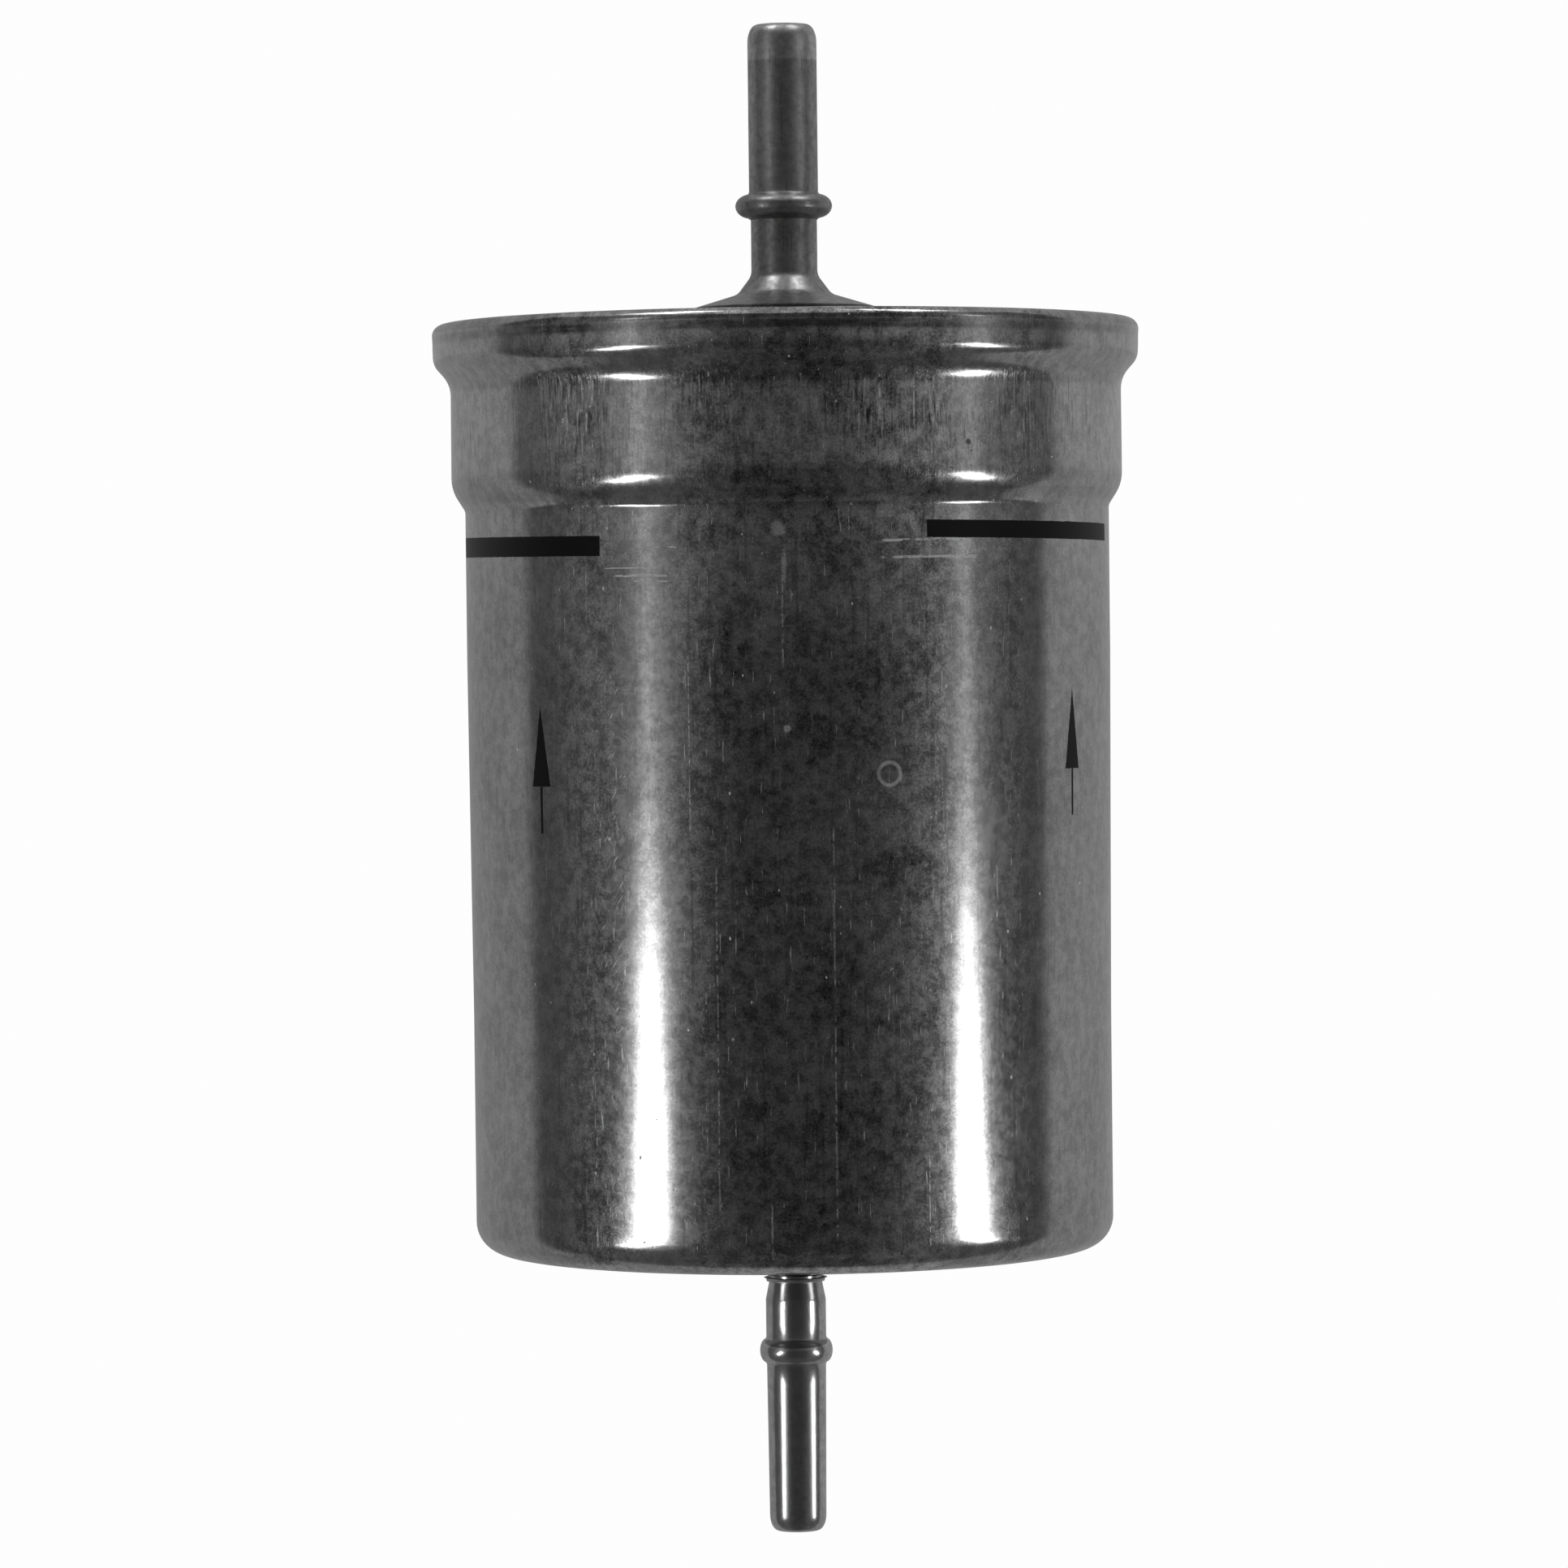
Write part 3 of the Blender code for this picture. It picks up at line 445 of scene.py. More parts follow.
class Finish(Wiring):
    """A material with one Principled shader, and the effects placed in it."""

    def __init__(self, name, metallic, **constants):
        material = bpy.data.materials.new(name)
        material.use_nodes = True
        super().__init__(material.node_tree)
        self.material = material
        self.shader = material.node_tree.nodes["Principled BSDF"].inputs
        self.shader["Metallic"].default_value = metallic
        for key, value in constants.items():
            self.shader[key.replace("_", " ")].default_value = value
        self.place = self.node("ShaderNodeTexCoord").outputs["Object"]

    def effect(self, name, **values):
        node = self.node("ShaderNodeGroup", node_tree=GROUPS[name])
        self.join(node.inputs["Vector"], self.place)
        for key, value in values.items():
            self.join(node.inputs[key], value)
        return node.outputs

    def ragged(self, scale, amount):
        """Noise about 0, to roughen an edge."""
        return self.times(self.less(self.noise(self.place, scale), 0.5), amount)

    def grey(self, value):
        return self.node("ShaderNodeCombineColor", {0: value, 1: value, 2: value}).outputs[0]

    def relief(self, height):
        """Normal from a relief in millimetres."""
        node = self.node("ShaderNodeBump", {"Height": height, "Distance": MM, "Strength": 1.0})
        self.join(self.shader["Normal"], node.outputs[0])


def beside(w, wall, turn):
    """How far round the body a point lies from an angle, in millimetres."""
    return w.less(wall["Around"], math.radians(turn) * MARK_RADIUS)


def from_spot(w, wall, turn, height):
    """How far round and how far up a point lies from a spot on the body, in millimetres."""
    return beside(w, wall, turn), w.less(wall["Height"], height)


def printed_marks(w, wall):
    """Mask of the stripes and arrows, with slightly ragged edges."""
    angle, height, ragged, mask = wall["Angle"], wall["Height"], w.ragged(3500.0, 0.16), 0.0
    for start, end, middle, width in STRIPES:
        level = w.add(height, w.times(w.less(angle, 0.5 * (start + end)), STRIPE_FALL))
        long = w.span(w.add(angle, ragged), start, end, 0.03)
        mask = w.larger(mask, w.times(long, w.within(w.add(level, ragged), middle, 0.5 * width, PRINT_SOFT)))
    for turn, foot in ARROWS:
        side, up = from_spot(w, wall, turn, foot)
        side = w.math("ABSOLUTE", side)
        edge = w.times(w.less(1.0, w.math("DIVIDE", up, ARROW_HEAD)), ARROW_HALF_WIDTH)
        head = w.times(w.ramp(w.less(edge, w.add(side, ragged)), -PRINT_SOFT, PRINT_SOFT),
                       w.ramp(up, -PRINT_SOFT, PRINT_SOFT))
        shaft = w.times(w.within(side, 0.0, SHAFT_HALF_WIDTH, PRINT_SOFT),
                        w.span(up, -ARROW_SHAFT, 0.0, PRINT_SOFT))
        mask = w.larger(mask, w.larger(head, shaft))
    return mask


def scuffs(w, wall):
    """Mask of the rubbed lines round the can and along it, swaying a little and broken up by noise."""
    broken = w.ramp(w.noise(w.stretched(w.place, (700.0, 700.0, 1300.0)), 1.0), 0.38, 0.54)
    sway, mask = w.ragged(90.0, 0.5), 0.0
    for start, end, height, half in SCUFFS:
        line = w.within(w.add(wall["Height"], sway), height, half, RUB_SOFT)
        mask = w.larger(mask, w.times(w.span(wall["Angle"], start, end, 0.6), line))
    for turn, low, high, half, strength in RUBS:
        side = w.add(beside(w, wall, turn), w.times(sway, 0.3))
        line = w.times(w.within(side, 0.0, half, RUB_SOFT), strength)
        mask = w.larger(mask, w.times(line, w.span(wall["Height"], low, high, 0.5)))
    return w.times(mask, broken)


def painted_shade_and_spots(w, wall):
    """Masks of painted shade along the hollows and edges that run round the can, patchy, and of dark spots at
    a few places.
    """
    patchy = w.ramp(w.noise(w.stretched(w.place, (60.0, 60.0, 500.0)), 1.0, 4.0, 0.65), 0.36, 0.6, 0.35, 1.0)
    mask = 0.0
    # painted shade: a darker line along each hollow and edge
    for height, half, strength in PAINTED_SHADE:
        mask = w.larger(mask, w.times(w.within(wall["Height"], height, half, 0.3), strength))
    deep, ragged = 0.0, w.ragged(2500.0, 0.5)
    for turn, height, radius in DARK_SPOTS:
        far = w.distance(*from_spot(w, wall, turn, height))
        deep = w.larger(deep, w.ramp(w.add(far, ragged), 0.5 * radius, radius, 0.75, 0.0))
    return w.times(mask, patchy), deep


def slanted_scratches(w, wall):
    """Mask of short scratches leaning to the right, at most one to each step of the height."""
    lean, mask = math.radians(SCRATCH_LEAN), 0.0
    for turn, spacing, share, seed in SCRATCH_COLUMNS:
        place = w.math("DIVIDE", w.add(wall["Height"], seed), spacing)
        index = w.math("FLOOR", place)
        chance = w.node("ShaderNodeTexWhiteNoise", {"W": w.add(index, seed)}, noise_dimensions="1D")
        pick = w.node("ShaderNodeSeparateColor", {0: chance.outputs["Color"]}).outputs
        up = w.times(w.less(w.math("FRACT", place), w.blend(pick[0], 0.35, 0.65)), spacing)
        side = w.less(beside(w, wall, turn), w.times(w.less(pick[1], 0.5), SCRATCH_SCATTER))
        off = w.less(w.times(side, math.sin(lean)), w.times(up, math.cos(lean)))
        along = w.add(w.times(side, math.cos(lean)), w.times(up, math.sin(lean)))
        length = w.blend(pick[2], 0.15, 0.5)
        line = w.times(w.within(off, 0.0, 0.03, 0.03), w.within(along, 0.0, length, 0.2))
        mask = w.larger(mask, w.times(line, w.math("LESS_THAN", pick[0], share)))
    rows = w.times(w.ramp(wall["Height"], SCRATCH_LOW, SCRATCH_LOW + SCRATCH_FADE),
                   w.ramp(wall["Height"], SCRATCH_HIGH, SCRATCH_HIGH - SCRATCH_FADE))
    return w.times(mask, rows)


def smudges(w, wall):
    """Pale rubbed spots, and the ring left by a suction cup: distances from their centres."""
    ragged, mask = w.ragged(900.0, 0.9), 0.0
    for turn, height, half_round, half_height, strength in SMUDGES:
        side, up = from_spot(w, wall, turn, height)
        far = w.distance(w.math("DIVIDE", side, half_round), w.math("DIVIDE", up, half_height))
        mask = w.larger(mask, w.ramp(w.add(far, ragged), 0.35, 1.15, strength, 0.0))
    far = w.distance(*from_spot(w, wall, RING_ANGLE, RING_HEIGHT))
    ring = w.within(w.add(far, w.times(ragged, 0.2)), RING_RADIUS, RING_HALF_WIDTH, 0.12)
    return w.larger(mask, w.times(ring, RING_STRENGTH))


def worked_band(w, wall):
    """Masks: how clearly clouds and marks show, where the die has marked the band, and in which patches."""
    turn = w.math("ABSOLUTE", wall["Angle"])
    rubbed = w.larger(*(w.within(wall["Angle"], middle, half, 4.0) for middle, half in RUBBED_STRIPS))
    calm = w.times(w.ramp(turn, *SIDE_CALM), w.blend(rubbed, 1.0, RUBBED_CALM))
    band = w.times(w.ramp(wall["Height"], 43.0, 45.0), w.ramp(wall["Height"], 62.5, 61.0))
    upper = w.times(band, w.blend(w.ramp(wall["Height"], 46.0, 51.5), 0.35, 1.0))
    marked = w.times(w.ramp(wall["Height"], *BELOW_RIM), w.ramp(turn, *FRONT_CALM))
    patch = w.ramp(w.noise(w.place, 60.0, 3.0), 0.38, 0.56)
    worked = w.times(w.times(upper, w.blend(patch, 0.4, 1.0)), w.times(calm, marked))
    return calm, worked, patch


def can_finish():
    """Dull plated steel with clouds, draw marks and pits on the band, scratches, scuffs, printed marks and
    painted shade along the hollows.
    """
    w = Finish("can_steel", 1.0, Specular_IOR_Level=0.15)
    wall = w.effect("round_the_can")
    plating = w.effect("clouding", Blotch=1.5, Grain=0.24)
    broad = w.effect("draw_marks", Width=0.7, Length=18.0, Amount=0.62)
    fine = w.effect("draw_marks", Width=0.26, Length=2.8, Amount=0.76)
    sparse = w.effect("draw_marks", Width=0.26, Length=3.4, Amount=0.32)
    nicks = w.effect("specks", Spacing=1.7, Size=0.13, Share=0.36, Stretch=1.5)["Speck"]
    pits = w.effect("specks", Spacing=0.75, Size=0.13, Share=0.3, Stretch=1.2)["Speck"]
    calm, worked, patch = worked_band(w, wall)

    # tone: clouds, darkened by draw marks, by painted shade along the hollows and by dark spots
    dark = w.add(w.times(broad["Dark"], w.times(calm, 0.26)),
                 w.times(fine["Dark"], w.blend(worked, 0.06, 0.8)))
    shade_lines, deep = painted_shade_and_spots(w, wall)
    dark = w.larger(dark, w.larger(w.times(shade_lines, calm), deep))
    cloud = w.add(w.times(w.less(plating["Cloud"], 0.5), 0.56), w.times(w.less(plating["Grain"], 0.5), 0.9))
    tone = w.add(0.5, w.times(cloud, calm))
    tone = w.times(tone, w.less(1.0, w.math("MINIMUM", dark, 0.85)))

    # wear: pale marks that scatter the light instead of mirroring it
    bright = w.larger(w.times(sparse["Bright"], w.times(calm, 0.5)),
                      w.times(fine["Bright"], w.times(worked, 0.6)))
    pitted = w.times(pits, w.times(worked, patch))
    lines = w.larger(scuffs(w, wall), slanted_scratches(w, wall))
    wear = w.larger(w.larger(nicks, lines), w.larger(w.larger(bright, pitted), smudges(w, wall)))
    tone = w.blend(wear, tone, WEAR_TONE)

    ink = printed_marks(w, wall)
    w.join(w.shader["Base Color"], w.grey(w.blend(ink, tone, INK_TONE)))
    w.join(w.shader["Metallic"], w.less(1.0, w.larger(ink, w.times(wear, 0.8))))
    w.join(w.shader["Roughness"], w.blend(ink, w.blend(wear, CAN_ROUGH, WEAR_ROUGH), INK_ROUGH))
    hollows = w.add(w.times(w.larger(nicks, pitted), 0.004), w.times(fine["Dark"], w.times(worked, 0.0025)))
    ripples = w.add(w.times(plating["Grain"], 0.0003),
                    w.times(fine["Level"], w.blend(worked, 0.0002, 0.0018)))
    w.relief(w.less(ripples, hollows))
    return w.material


def plain_steel(name, low, high, rough_low, rough_high, blotch=2.0, grain=0.25, relief=0.004, streaks=0.3,
                bright_above=None):
    """Steel whose tone and roughness follow the clouding, with a few draw marks, brighter above a height."""
    w = Finish(name, 1.0)
    plating = w.effect("clouding", Blotch=blotch, Grain=grain)
    marks = w.effect("draw_marks", Width=0.25, Length=5.0, Amount=streaks)
    tone = w.add(w.blend(plating["Cloud"], low, high), w.times(w.less(plating["Grain"], 0.5), 0.15))
    tone = w.times(tone, w.less(1.0, w.times(marks["Dark"], 0.35)))
    if bright_above:
        height = w.effect("round_the_can")["Height"]
        tone = w.times(tone, w.ramp(height, bright_above, bright_above + 0.3, 1.0, 1.45))
    w.join(w.shader["Base Color"], w.grey(tone))
    w.join(w.shader["Roughness"], w.blend(plating["Cloud"], rough_high, rough_low))
    w.relief(w.times(plating["Grain"], relief))
    return w.material


def plain_soft(name, color, rough, spread=0.25, blotch=1.5, relief=0.02):
    """Rubber, compound or paper: one colour lightened and darkened by the clouding."""
    w = Finish(name, 0.0)
    cloud = w.effect("clouding", Blotch=blotch, Grain=0.2)
    light = tuple(min(1.0, c * (1.0 + spread)) for c in color) + (1.0,)
    deep = tuple(c * (1.0 - spread) for c in color) + (1.0,)
    w.join(w.shader["Base Color"], w.tint(cloud["Cloud"], deep, light))
    w.join(w.shader["Roughness"], w.add(rough - 0.05, w.times(cloud["Grain"], 0.1)))
    w.relief(w.times(cloud["Grain"], relief))
    return w.material


# ---------------- pieces


def cone_height(radius, drop):
    """Height of the lid's raised centre at a radius, moved down by the drop."""
    return CONE_START[1] - (radius - CONE_START[0]) * CONE_SLOPE - drop


def dents(depth, seed, waves=14):
    """Shallow unevenness, never outwards: a sum of waves cos(k a + m z + phase) scaled to 0..depth."""
    chance = np.random.default_rng(seed)
    turns = chance.integers(1, 11, waves)
    climbs = chance.uniform(-0.25, 0.25, waves)
    phases = chance.uniform(0.0, 2.0 * math.pi, waves)

    def wobble(angle, radius, height):
        total = sum(np.cos(k * angle + m * height + p) for k, m, p in zip(turns, climbs, phases))
        return depth * (0.5 + 0.5 * total / waves)
    return wobble


def drawn_can():
    """The can's profile, with a fine groove of depth g exp(-((z - h) / w)^2) under the rolled edge."""
    path = spaced(rounded(CAN_CORNERS), CAN_STEP)
    depth, height, width = RIM_GROOVE
    outer = path[:, 0] > RIM_INNER
    path[:, 0] -= depth * np.exp(-((path[:, 1] - height) / width) ** 2) * outer
    return turned("drawn_can", sheet(path, CAN_WALL), CAN_AROUND, dents(DENT_DEPTH, DENT_SEED))


def rolled_in_lid():
    """The lid's profile: a raised centre, a panel, a groove at the wall, and a flange with a short skirt."""
    corners = [
        (LID_HOLE_RADIUS, cone_height(LID_HOLE_RADIUS, LID_DROP)),
        (CONE_FOOT_RADIUS, cone_height(CONE_FOOT_RADIUS, LID_DROP), 12.0), (31.0, 60.3, 1.4),
        (33.2, GROOVE_BOTTOM, 1.0), (CHUCK_RADIUS, GROOVE_BOTTOM, 1.0), (CHUCK_RADIUS, LID_SEAT, 1.2),
        (LID_EDGE_RADIUS, LID_SEAT, 1.2), (LID_EDGE_RADIUS, 60.0),
    ]
    return turned("rolled_in_lid", sheet(spaced(rounded(corners)), LID_SHEET), CAN_AROUND)


def outlet_stub():
    """The upper tube: a rounded end, a bead, a trumpet foot, and the bore with the groove behind the bead."""
    rounding = OUTLET_RADIUS - OUTLET_LIP
    end = arc((OUTLET_LIP, OUTLET_TIP - OUTLET_ROUNDING), (rounding, OUTLET_ROUNDING), 90.0, 0.0, 13)
    foot = rounded([
        (OUTLET_NECK, TRUMPET_TOP + 3.1), (OUTLET_NECK, TRUMPET_TOP, 1.8), (*CONE_START, 1.6),
        (TRUMPET_RADIUS, cone_height(TRUMPET_RADIUS, 0.0)),
    ])
    under = sheet(foot, TRUMPET_SHEET)[len(foot):-1]
    swell = bead(OUTLET_RADIUS, OUTLET_NECK, OUTLET_BEAD, OUTLET_BEAD_RADIUS)
    bore = np.vstack([
        [OUTLET_BORE, under[-1][1]], hollow_bead(OUTLET_BORE, OUTLET_BEAD, OUTLET_BEAD_HOLLOW),
        [OUTLET_BORE, OUTLET_TIP - LIP_DEPTH],
    ])
    outline = np.vstack([[OUTLET_LIP_HOLE, OUTLET_TIP], end, swell, foot[1:], under, bore])
    return turned("outlet_stub", spaced(outline))


def inlet_stub():
    """The lower tube: a narrow neck, a bead, a tapering shank with a rounded end, and the bore."""
    rounding = INLET_TIP_RADIUS - INLET_LIP
    neck = rounded([
        (INLET_NECK_RADIUS, INLET_END), (INLET_NECK_RADIUS, INLET_NECK, 1.5),
        (INLET_RADIUS, INLET_SHOULDER, 1.5), (INLET_RADIUS, INLET_SHOULDER - 1.1),
    ])
    swell = bead(INLET_RADIUS, INLET_SHANK, INLET_BEAD, INLET_BEAD_RADIUS)
    end = arc((INLET_LIP, INLET_TIP + INLET_ROUNDING), (rounding, INLET_ROUNDING), 0.0, -90.0, 13)
    bore = np.vstack([
        [INLET_LIP_HOLE, INLET_TIP], [INLET_BORE, INLET_TIP + LIP_DEPTH],
        hollow_bead(INLET_BORE, INLET_BEAD, INLET_BEAD_HOLLOW), [INLET_BORE, INLET_END],
    ])
    return turned("inlet_stub", spaced(np.vstack([neck, swell, end, bore])))


def welded(piece):
    """Joins the points that fall together at a pole or along a seam, and drops an edge left without faces."""
    shape = bmesh.new()
    shape.from_mesh(piece.data)
    bmesh.ops.remove_doubles(shape, verts=shape.verts, dist=1e-7)
    bmesh.ops.delete(shape, geom=[edge for edge in shape.edges if not edge.link_faces], context="EDGES")
    shape.to_mesh(piece.data)
    shape.free()
    return piece


def soft_ring(inner, outer, bottom, top, radius, dish=0.0):
    """Outline of a ring with rounded corners; its upper face sinks by the dish halfway across."""
    middle = 0.5 * (inner + outer)
    corners = [(middle, top - dish), (outer, top, radius), (outer, bottom, radius), (inner, bottom, radius),
               (inner, top, radius), (middle, top - dish)]
    return rounded(corners, 22.5)[:-1]


def braze_fillet(near, foot, reach, rise):
    """Outline of a braze fillet: its face is the hollow curve (1 - sin a) from the rise down to the reach."""
    turn = np.radians(np.linspace(0.0, 90.0, 9))
    face = np.column_stack([near + reach * (1.0 - np.cos(turn)), foot + rise * (1.0 - np.sin(turn))])
    return np.vstack([face, [near, foot]])


def pressed(name, corners, thickness):
    """A thin sheet turned from its profile."""
    return turned(name, sheet(spaced(rounded(corners)), thickness))


def spigot():
    """The sleeve that the seal slides on, with a flange that follows the lid's slope."""
    seat, edge = (cone_height(radius, SPIGOT_DROP) for radius in (SPIGOT_RADIUS, SPIGOT_FLANGE_RADIUS))
    corners = [(SPIGOT_FLANGE_RADIUS, edge), (SPIGOT_RADIUS, seat, 0.8), (SPIGOT_RADIUS, SPIGOT_END)]
    return pressed("spigot", corners, SPIGOT_SHEET)


def upper_cap():
    """The upper cap: a hub with an open top, a flat, and a skirt round the compound."""
    corners = [(HUB_HOLE_RADIUS, HUB_TOP), (HUB_RADIUS, HUB_TOP, 0.8), (HUB_RADIUS, UPPER_CAP_TOP, 0.8),
               (CAP_RADIUS, UPPER_CAP_TOP, 1.2), (CAP_RADIUS, UPPER_CAP_TOP - CAP_SKIRT)]
    return pressed("upper_cap", corners, CAP_SHEET)


def lower_cap():
    """The lower cap: its profile runs to the axis, where the points are joined into one."""
    corners = [(CAP_RADIUS, LOWER_CAP_BOTTOM + CAP_SKIRT), (CAP_RADIUS, LOWER_CAP_BOTTOM, 1.2),
               (BOSS_RADIUS, LOWER_CAP_BOTTOM, 0.8), (BOSS_RADIUS, BOSS_BOTTOM, 1.0), (0.0, BOSS_BOTTOM)]
    return welded(pressed("lower_cap", corners, CAP_SHEET))


def raised(name, path, thickness, bottom, top):
    """A path in plan made into a wall: its offsets to both sides, joined at the ends, at each height."""
    half, count = 0.5 * thickness, len(path)
    loop = np.vstack([sheet(path, -half)[count:][::-1], sheet(path, half)[count:]])
    height = np.linspace(bottom, top, MEDIA_ROWS + 1)
    points = np.concatenate([np.column_stack([loop, np.full(len(loop), z)]) for z in height])
    wide = len(loop)
    sides = quads(len(height), wide, rows_join=False, flipped=True)
    k = np.arange(count - 1)
    floor = np.stack([k, k + 1, wide - 2 - k, wide - 1 - k], axis=1)
    return shaped(name, points, np.vstack([sides, floor, floor[:, ::-1] + MEDIA_ROWS * wide]))


def pleats():
    """Folded paper: the plan runs in and out between two radii, with rounded folds, open at +X."""
    line = [(PLEAT_OUTER - SEAM_SHORTER, SEAM_HALF / PLEAT_OUTER, 0.0)]
    for pleat in range(PLEATS):
        valley, crest = (2.0 * math.pi / PLEATS * (pleat + share) for share in (0.5, 1.0))
        line += [(PLEAT_INNER, valley + side * FOLD_INNER / PLEAT_INNER, 0.45) for side in (-1.0, 1.0)]
        line += [(PLEAT_OUTER, crest + side * FOLD_OUTER / PLEAT_OUTER, 0.6) for side in (-1.0, 1.0)]
    line[-2:] = [(PLEAT_OUTER - SEAM_SHORTER, -SEAM_HALF / PLEAT_OUTER, 0.0)]
    plan = rounded([(r * math.cos(a), r * math.sin(a), fillet) for r, a, fillet in line], 20.0)
    return raised("pleats", plan, PAPER, MEDIA_BOTTOM, MEDIA_TOP)


def seam_clip():
    """A channel round the paper's two ends."""
    plan = rounded([(CLIP_INNER, CLIP_HALF), (CLIP_OUTER, CLIP_HALF, 0.3), (CLIP_OUTER, -CLIP_HALF, 0.3),
                    (CLIP_INNER, -CLIP_HALF)])
    return raised("seam_clip", plan, CLIP_SHEET, MEDIA_BOTTOM + CLIP_SHORTER, MEDIA_TOP - CLIP_SHORTER)


def pierced_core():
    """Sheet rolled into a tube: each cell of the plan runs from its round hole out to its square edge."""
    edge, ones = np.linspace(-1.0, 1.0, CORE_SIDE, endpoint=False), np.ones(CORE_SIDE)
    square = np.vstack([np.column_stack([edge, -ones]), np.column_stack([ones, edge]),
                        np.column_stack([-edge, ones]), np.column_stack([-ones, -edge])])
    half = np.array([math.pi * CORE_RADIUS / CORE_COLUMNS, 0.5 * (MEDIA_TOP - MEDIA_BOTTOM) / CORE_ROWS])
    wall = square * half
    hole = CORE_HOLE * wall / np.linalg.norm(wall, axis=1)[:, None]
    share = (np.linspace(0.0, 1.0, CORE_RINGS) ** 1.5)[:, None, None]
    cell = hole[None] * (1.0 - share) + wall[None] * share
    row, column = np.meshgrid(np.arange(CORE_ROWS), np.arange(CORE_COLUMNS), indexing="ij")
    across = (2.0 * (column + 0.5 * (row % 2)) * half[0])[..., None, None] + cell[..., 0]
    up = (MEDIA_BOTTOM + (2.0 * row + 1.0) * half[1])[..., None, None] + cell[..., 1]
    turn = across / CORE_RADIUS
    outer = np.stack([CORE_RADIUS * np.cos(turn), CORE_RADIUS * np.sin(turn), up], axis=-1).reshape(-1, 3)
    patch = quads(CORE_RINGS, 4 * CORE_SIDE, rows_join=False, flipped=True)
    first = np.arange(CORE_ROWS * CORE_COLUMNS) * CORE_RINGS * 4 * CORE_SIDE
    faces = (patch[None] + first[:, None, None]).reshape(-1, 4)
    core = welded(shaped("pierced_core", outer, faces))
    solid = core.modifiers.new("sheet", "SOLIDIFY")
    solid.thickness, solid.offset = CORE_WALL * MM, -1.0
    return core


def spring():
    """Round wire wound into a helix: centre line (R cos t, R sin t, h(t)), closed by rounded ends."""
    turns = np.linspace(0.0, SPRING_TURNS, int(SPRING_TURNS * TURN_STEPS) + 1)
    low = np.minimum(turns, 1.0)
    high = np.maximum(turns - SPRING_TURNS + 1.0, 0.0)
    bottom, top = SPRING_FOOT + WIRE_RADIUS, SPRING_TOP - WIRE_RADIUS
    pitch = (top - bottom - 2.0 * SPRING_END_PITCH) / (SPRING_TURNS - 2.0)
    rise = bottom + (low + high) * SPRING_END_PITCH + (turns - low - high) * pitch
    angle = 2.0 * math.pi * turns
    ahead = np.minimum(turns, SPRING_TURNS - turns) * 2.0 * math.pi * SPRING_RADIUS
    wire = WIRE_RADIUS * np.sqrt(1.0 - np.clip(1.0 - ahead / WIRE_RADIUS, 0.0, 1.0) ** 2)
    around = np.linspace(0.0, 2.0 * math.pi, WIRE_AROUND, endpoint=False)
    reach = SPRING_RADIUS + wire[:, None] * np.cos(around)
    points = np.stack([reach * np.cos(angle)[:, None], reach * np.sin(angle)[:, None],
                       rise[:, None] + wire[:, None] * np.sin(around)], axis=2).reshape(-1, 3)
    return welded(shaped("spring", points, quads(len(turns), WIRE_AROUND, rows_join=False, flipped=True)))


def settle(piece, body, finish, slot, *nodes):
    """Gives a piece its finish, and lets it ride in place of its CAD nodes; the slot is not used."""
    piece.data.materials.append(finish)
    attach(piece, body)
    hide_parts(*nodes)


# ---------------- studio


def glow_material(name):
    """White to the camera's own rays, and the attribute's glow to every other ray."""
    material = bpy.data.materials.new(name)
    material.use_nodes = True
    w = Wiring(material.node_tree)
    material.node_tree.nodes.remove(material.node_tree.nodes["Principled BSDF"])
    seen = w.node("ShaderNodeLightPath").outputs["Is Camera Ray"]
    glow = w.node("ShaderNodeAttribute", attribute_name="glow").outputs["Fac"]
    light = w.node("ShaderNodeEmission", {"Strength": w.blend(seen, glow, WHITE)})
    w.join(w.tree.nodes["Material Output"].inputs["Surface"], light.outputs[0])
    return material


def step(value, low, high):
    """Smooth step: 3 t^2 - 2 t^3 of the clipped share t of the way from low to high."""
    share = np.clip((value - low) / (high - low), 0.0, 1.0)
    return share * share * (3.0 - 2.0 * share)


def window(value, start, full, fade, end):
    """Smooth step up from start to full, and down again from fade to end."""
    return step(value, start, full) * step(value, end, fade)


def tent_glow(angle, height):
    """Brightness of the tent's wall: pale side sheets, a strip each side of the camera, and a dim front."""
    turn = np.degrees(angle)
    off = np.abs(turn)
    glow = np.full_like(turn * height, FRONT_GLOW)
    glow = glow + 0.07 * step(off, 14.0, 62.0) - 0.03 * step(off, 76.0, 96.0)
    for edge, side, bright in SIDE_SHEETS:
        glow = glow + bright * step(side * turn, edge, edge + 5.0) * (side * turn > 0.0)
    low = window(height, -172.0, -122.0, -66.0, -14.0)
    high = step(height, 34.0, 58.0)
    middle_high = high * step(height, 108.0, 84.0)
    top = window(height, 140.0, 165.0, 220.0, 270.0)
    lit = step(height, -240.0, -160.0)
    strength = 0.5 * lit + 7.5 * low - 0.2 * high - 0.18 * (high - middle_high) + 1.1 * top
    for turns, inner in ((STRIP_LEFT, 1.0), (STRIP_RIGHT, -1.0)):
        inwards = inner * (turn - np.interp(height, STRIP_HEIGHTS, turns))
        away = np.abs(inwards)
        core = step(away, 2.6 + 3.4 * low + 2.0 * high, 0.6 + 3.0 * low)
        glow = glow + core * strength + 0.06 * lit * step(away, 16.0, 4.0)
        glow = glow + 0.08 * lit * step(inwards, 27.0, 6.0) * (inwards > 0.0) * (1.0 - high)
    return glow + middle_high * (0.055 + 0.1 * window(off, 16.0, 40.0, 51.0, 67.0))


def glowing(piece, glow):
    """Stores the glow at each point."""
    attribute = piece.data.attributes.new("glow", "FLOAT", "POINT")
    attribute.data.foreach_set("value", np.asarray(glow, np.float32).ravel())
    return piece


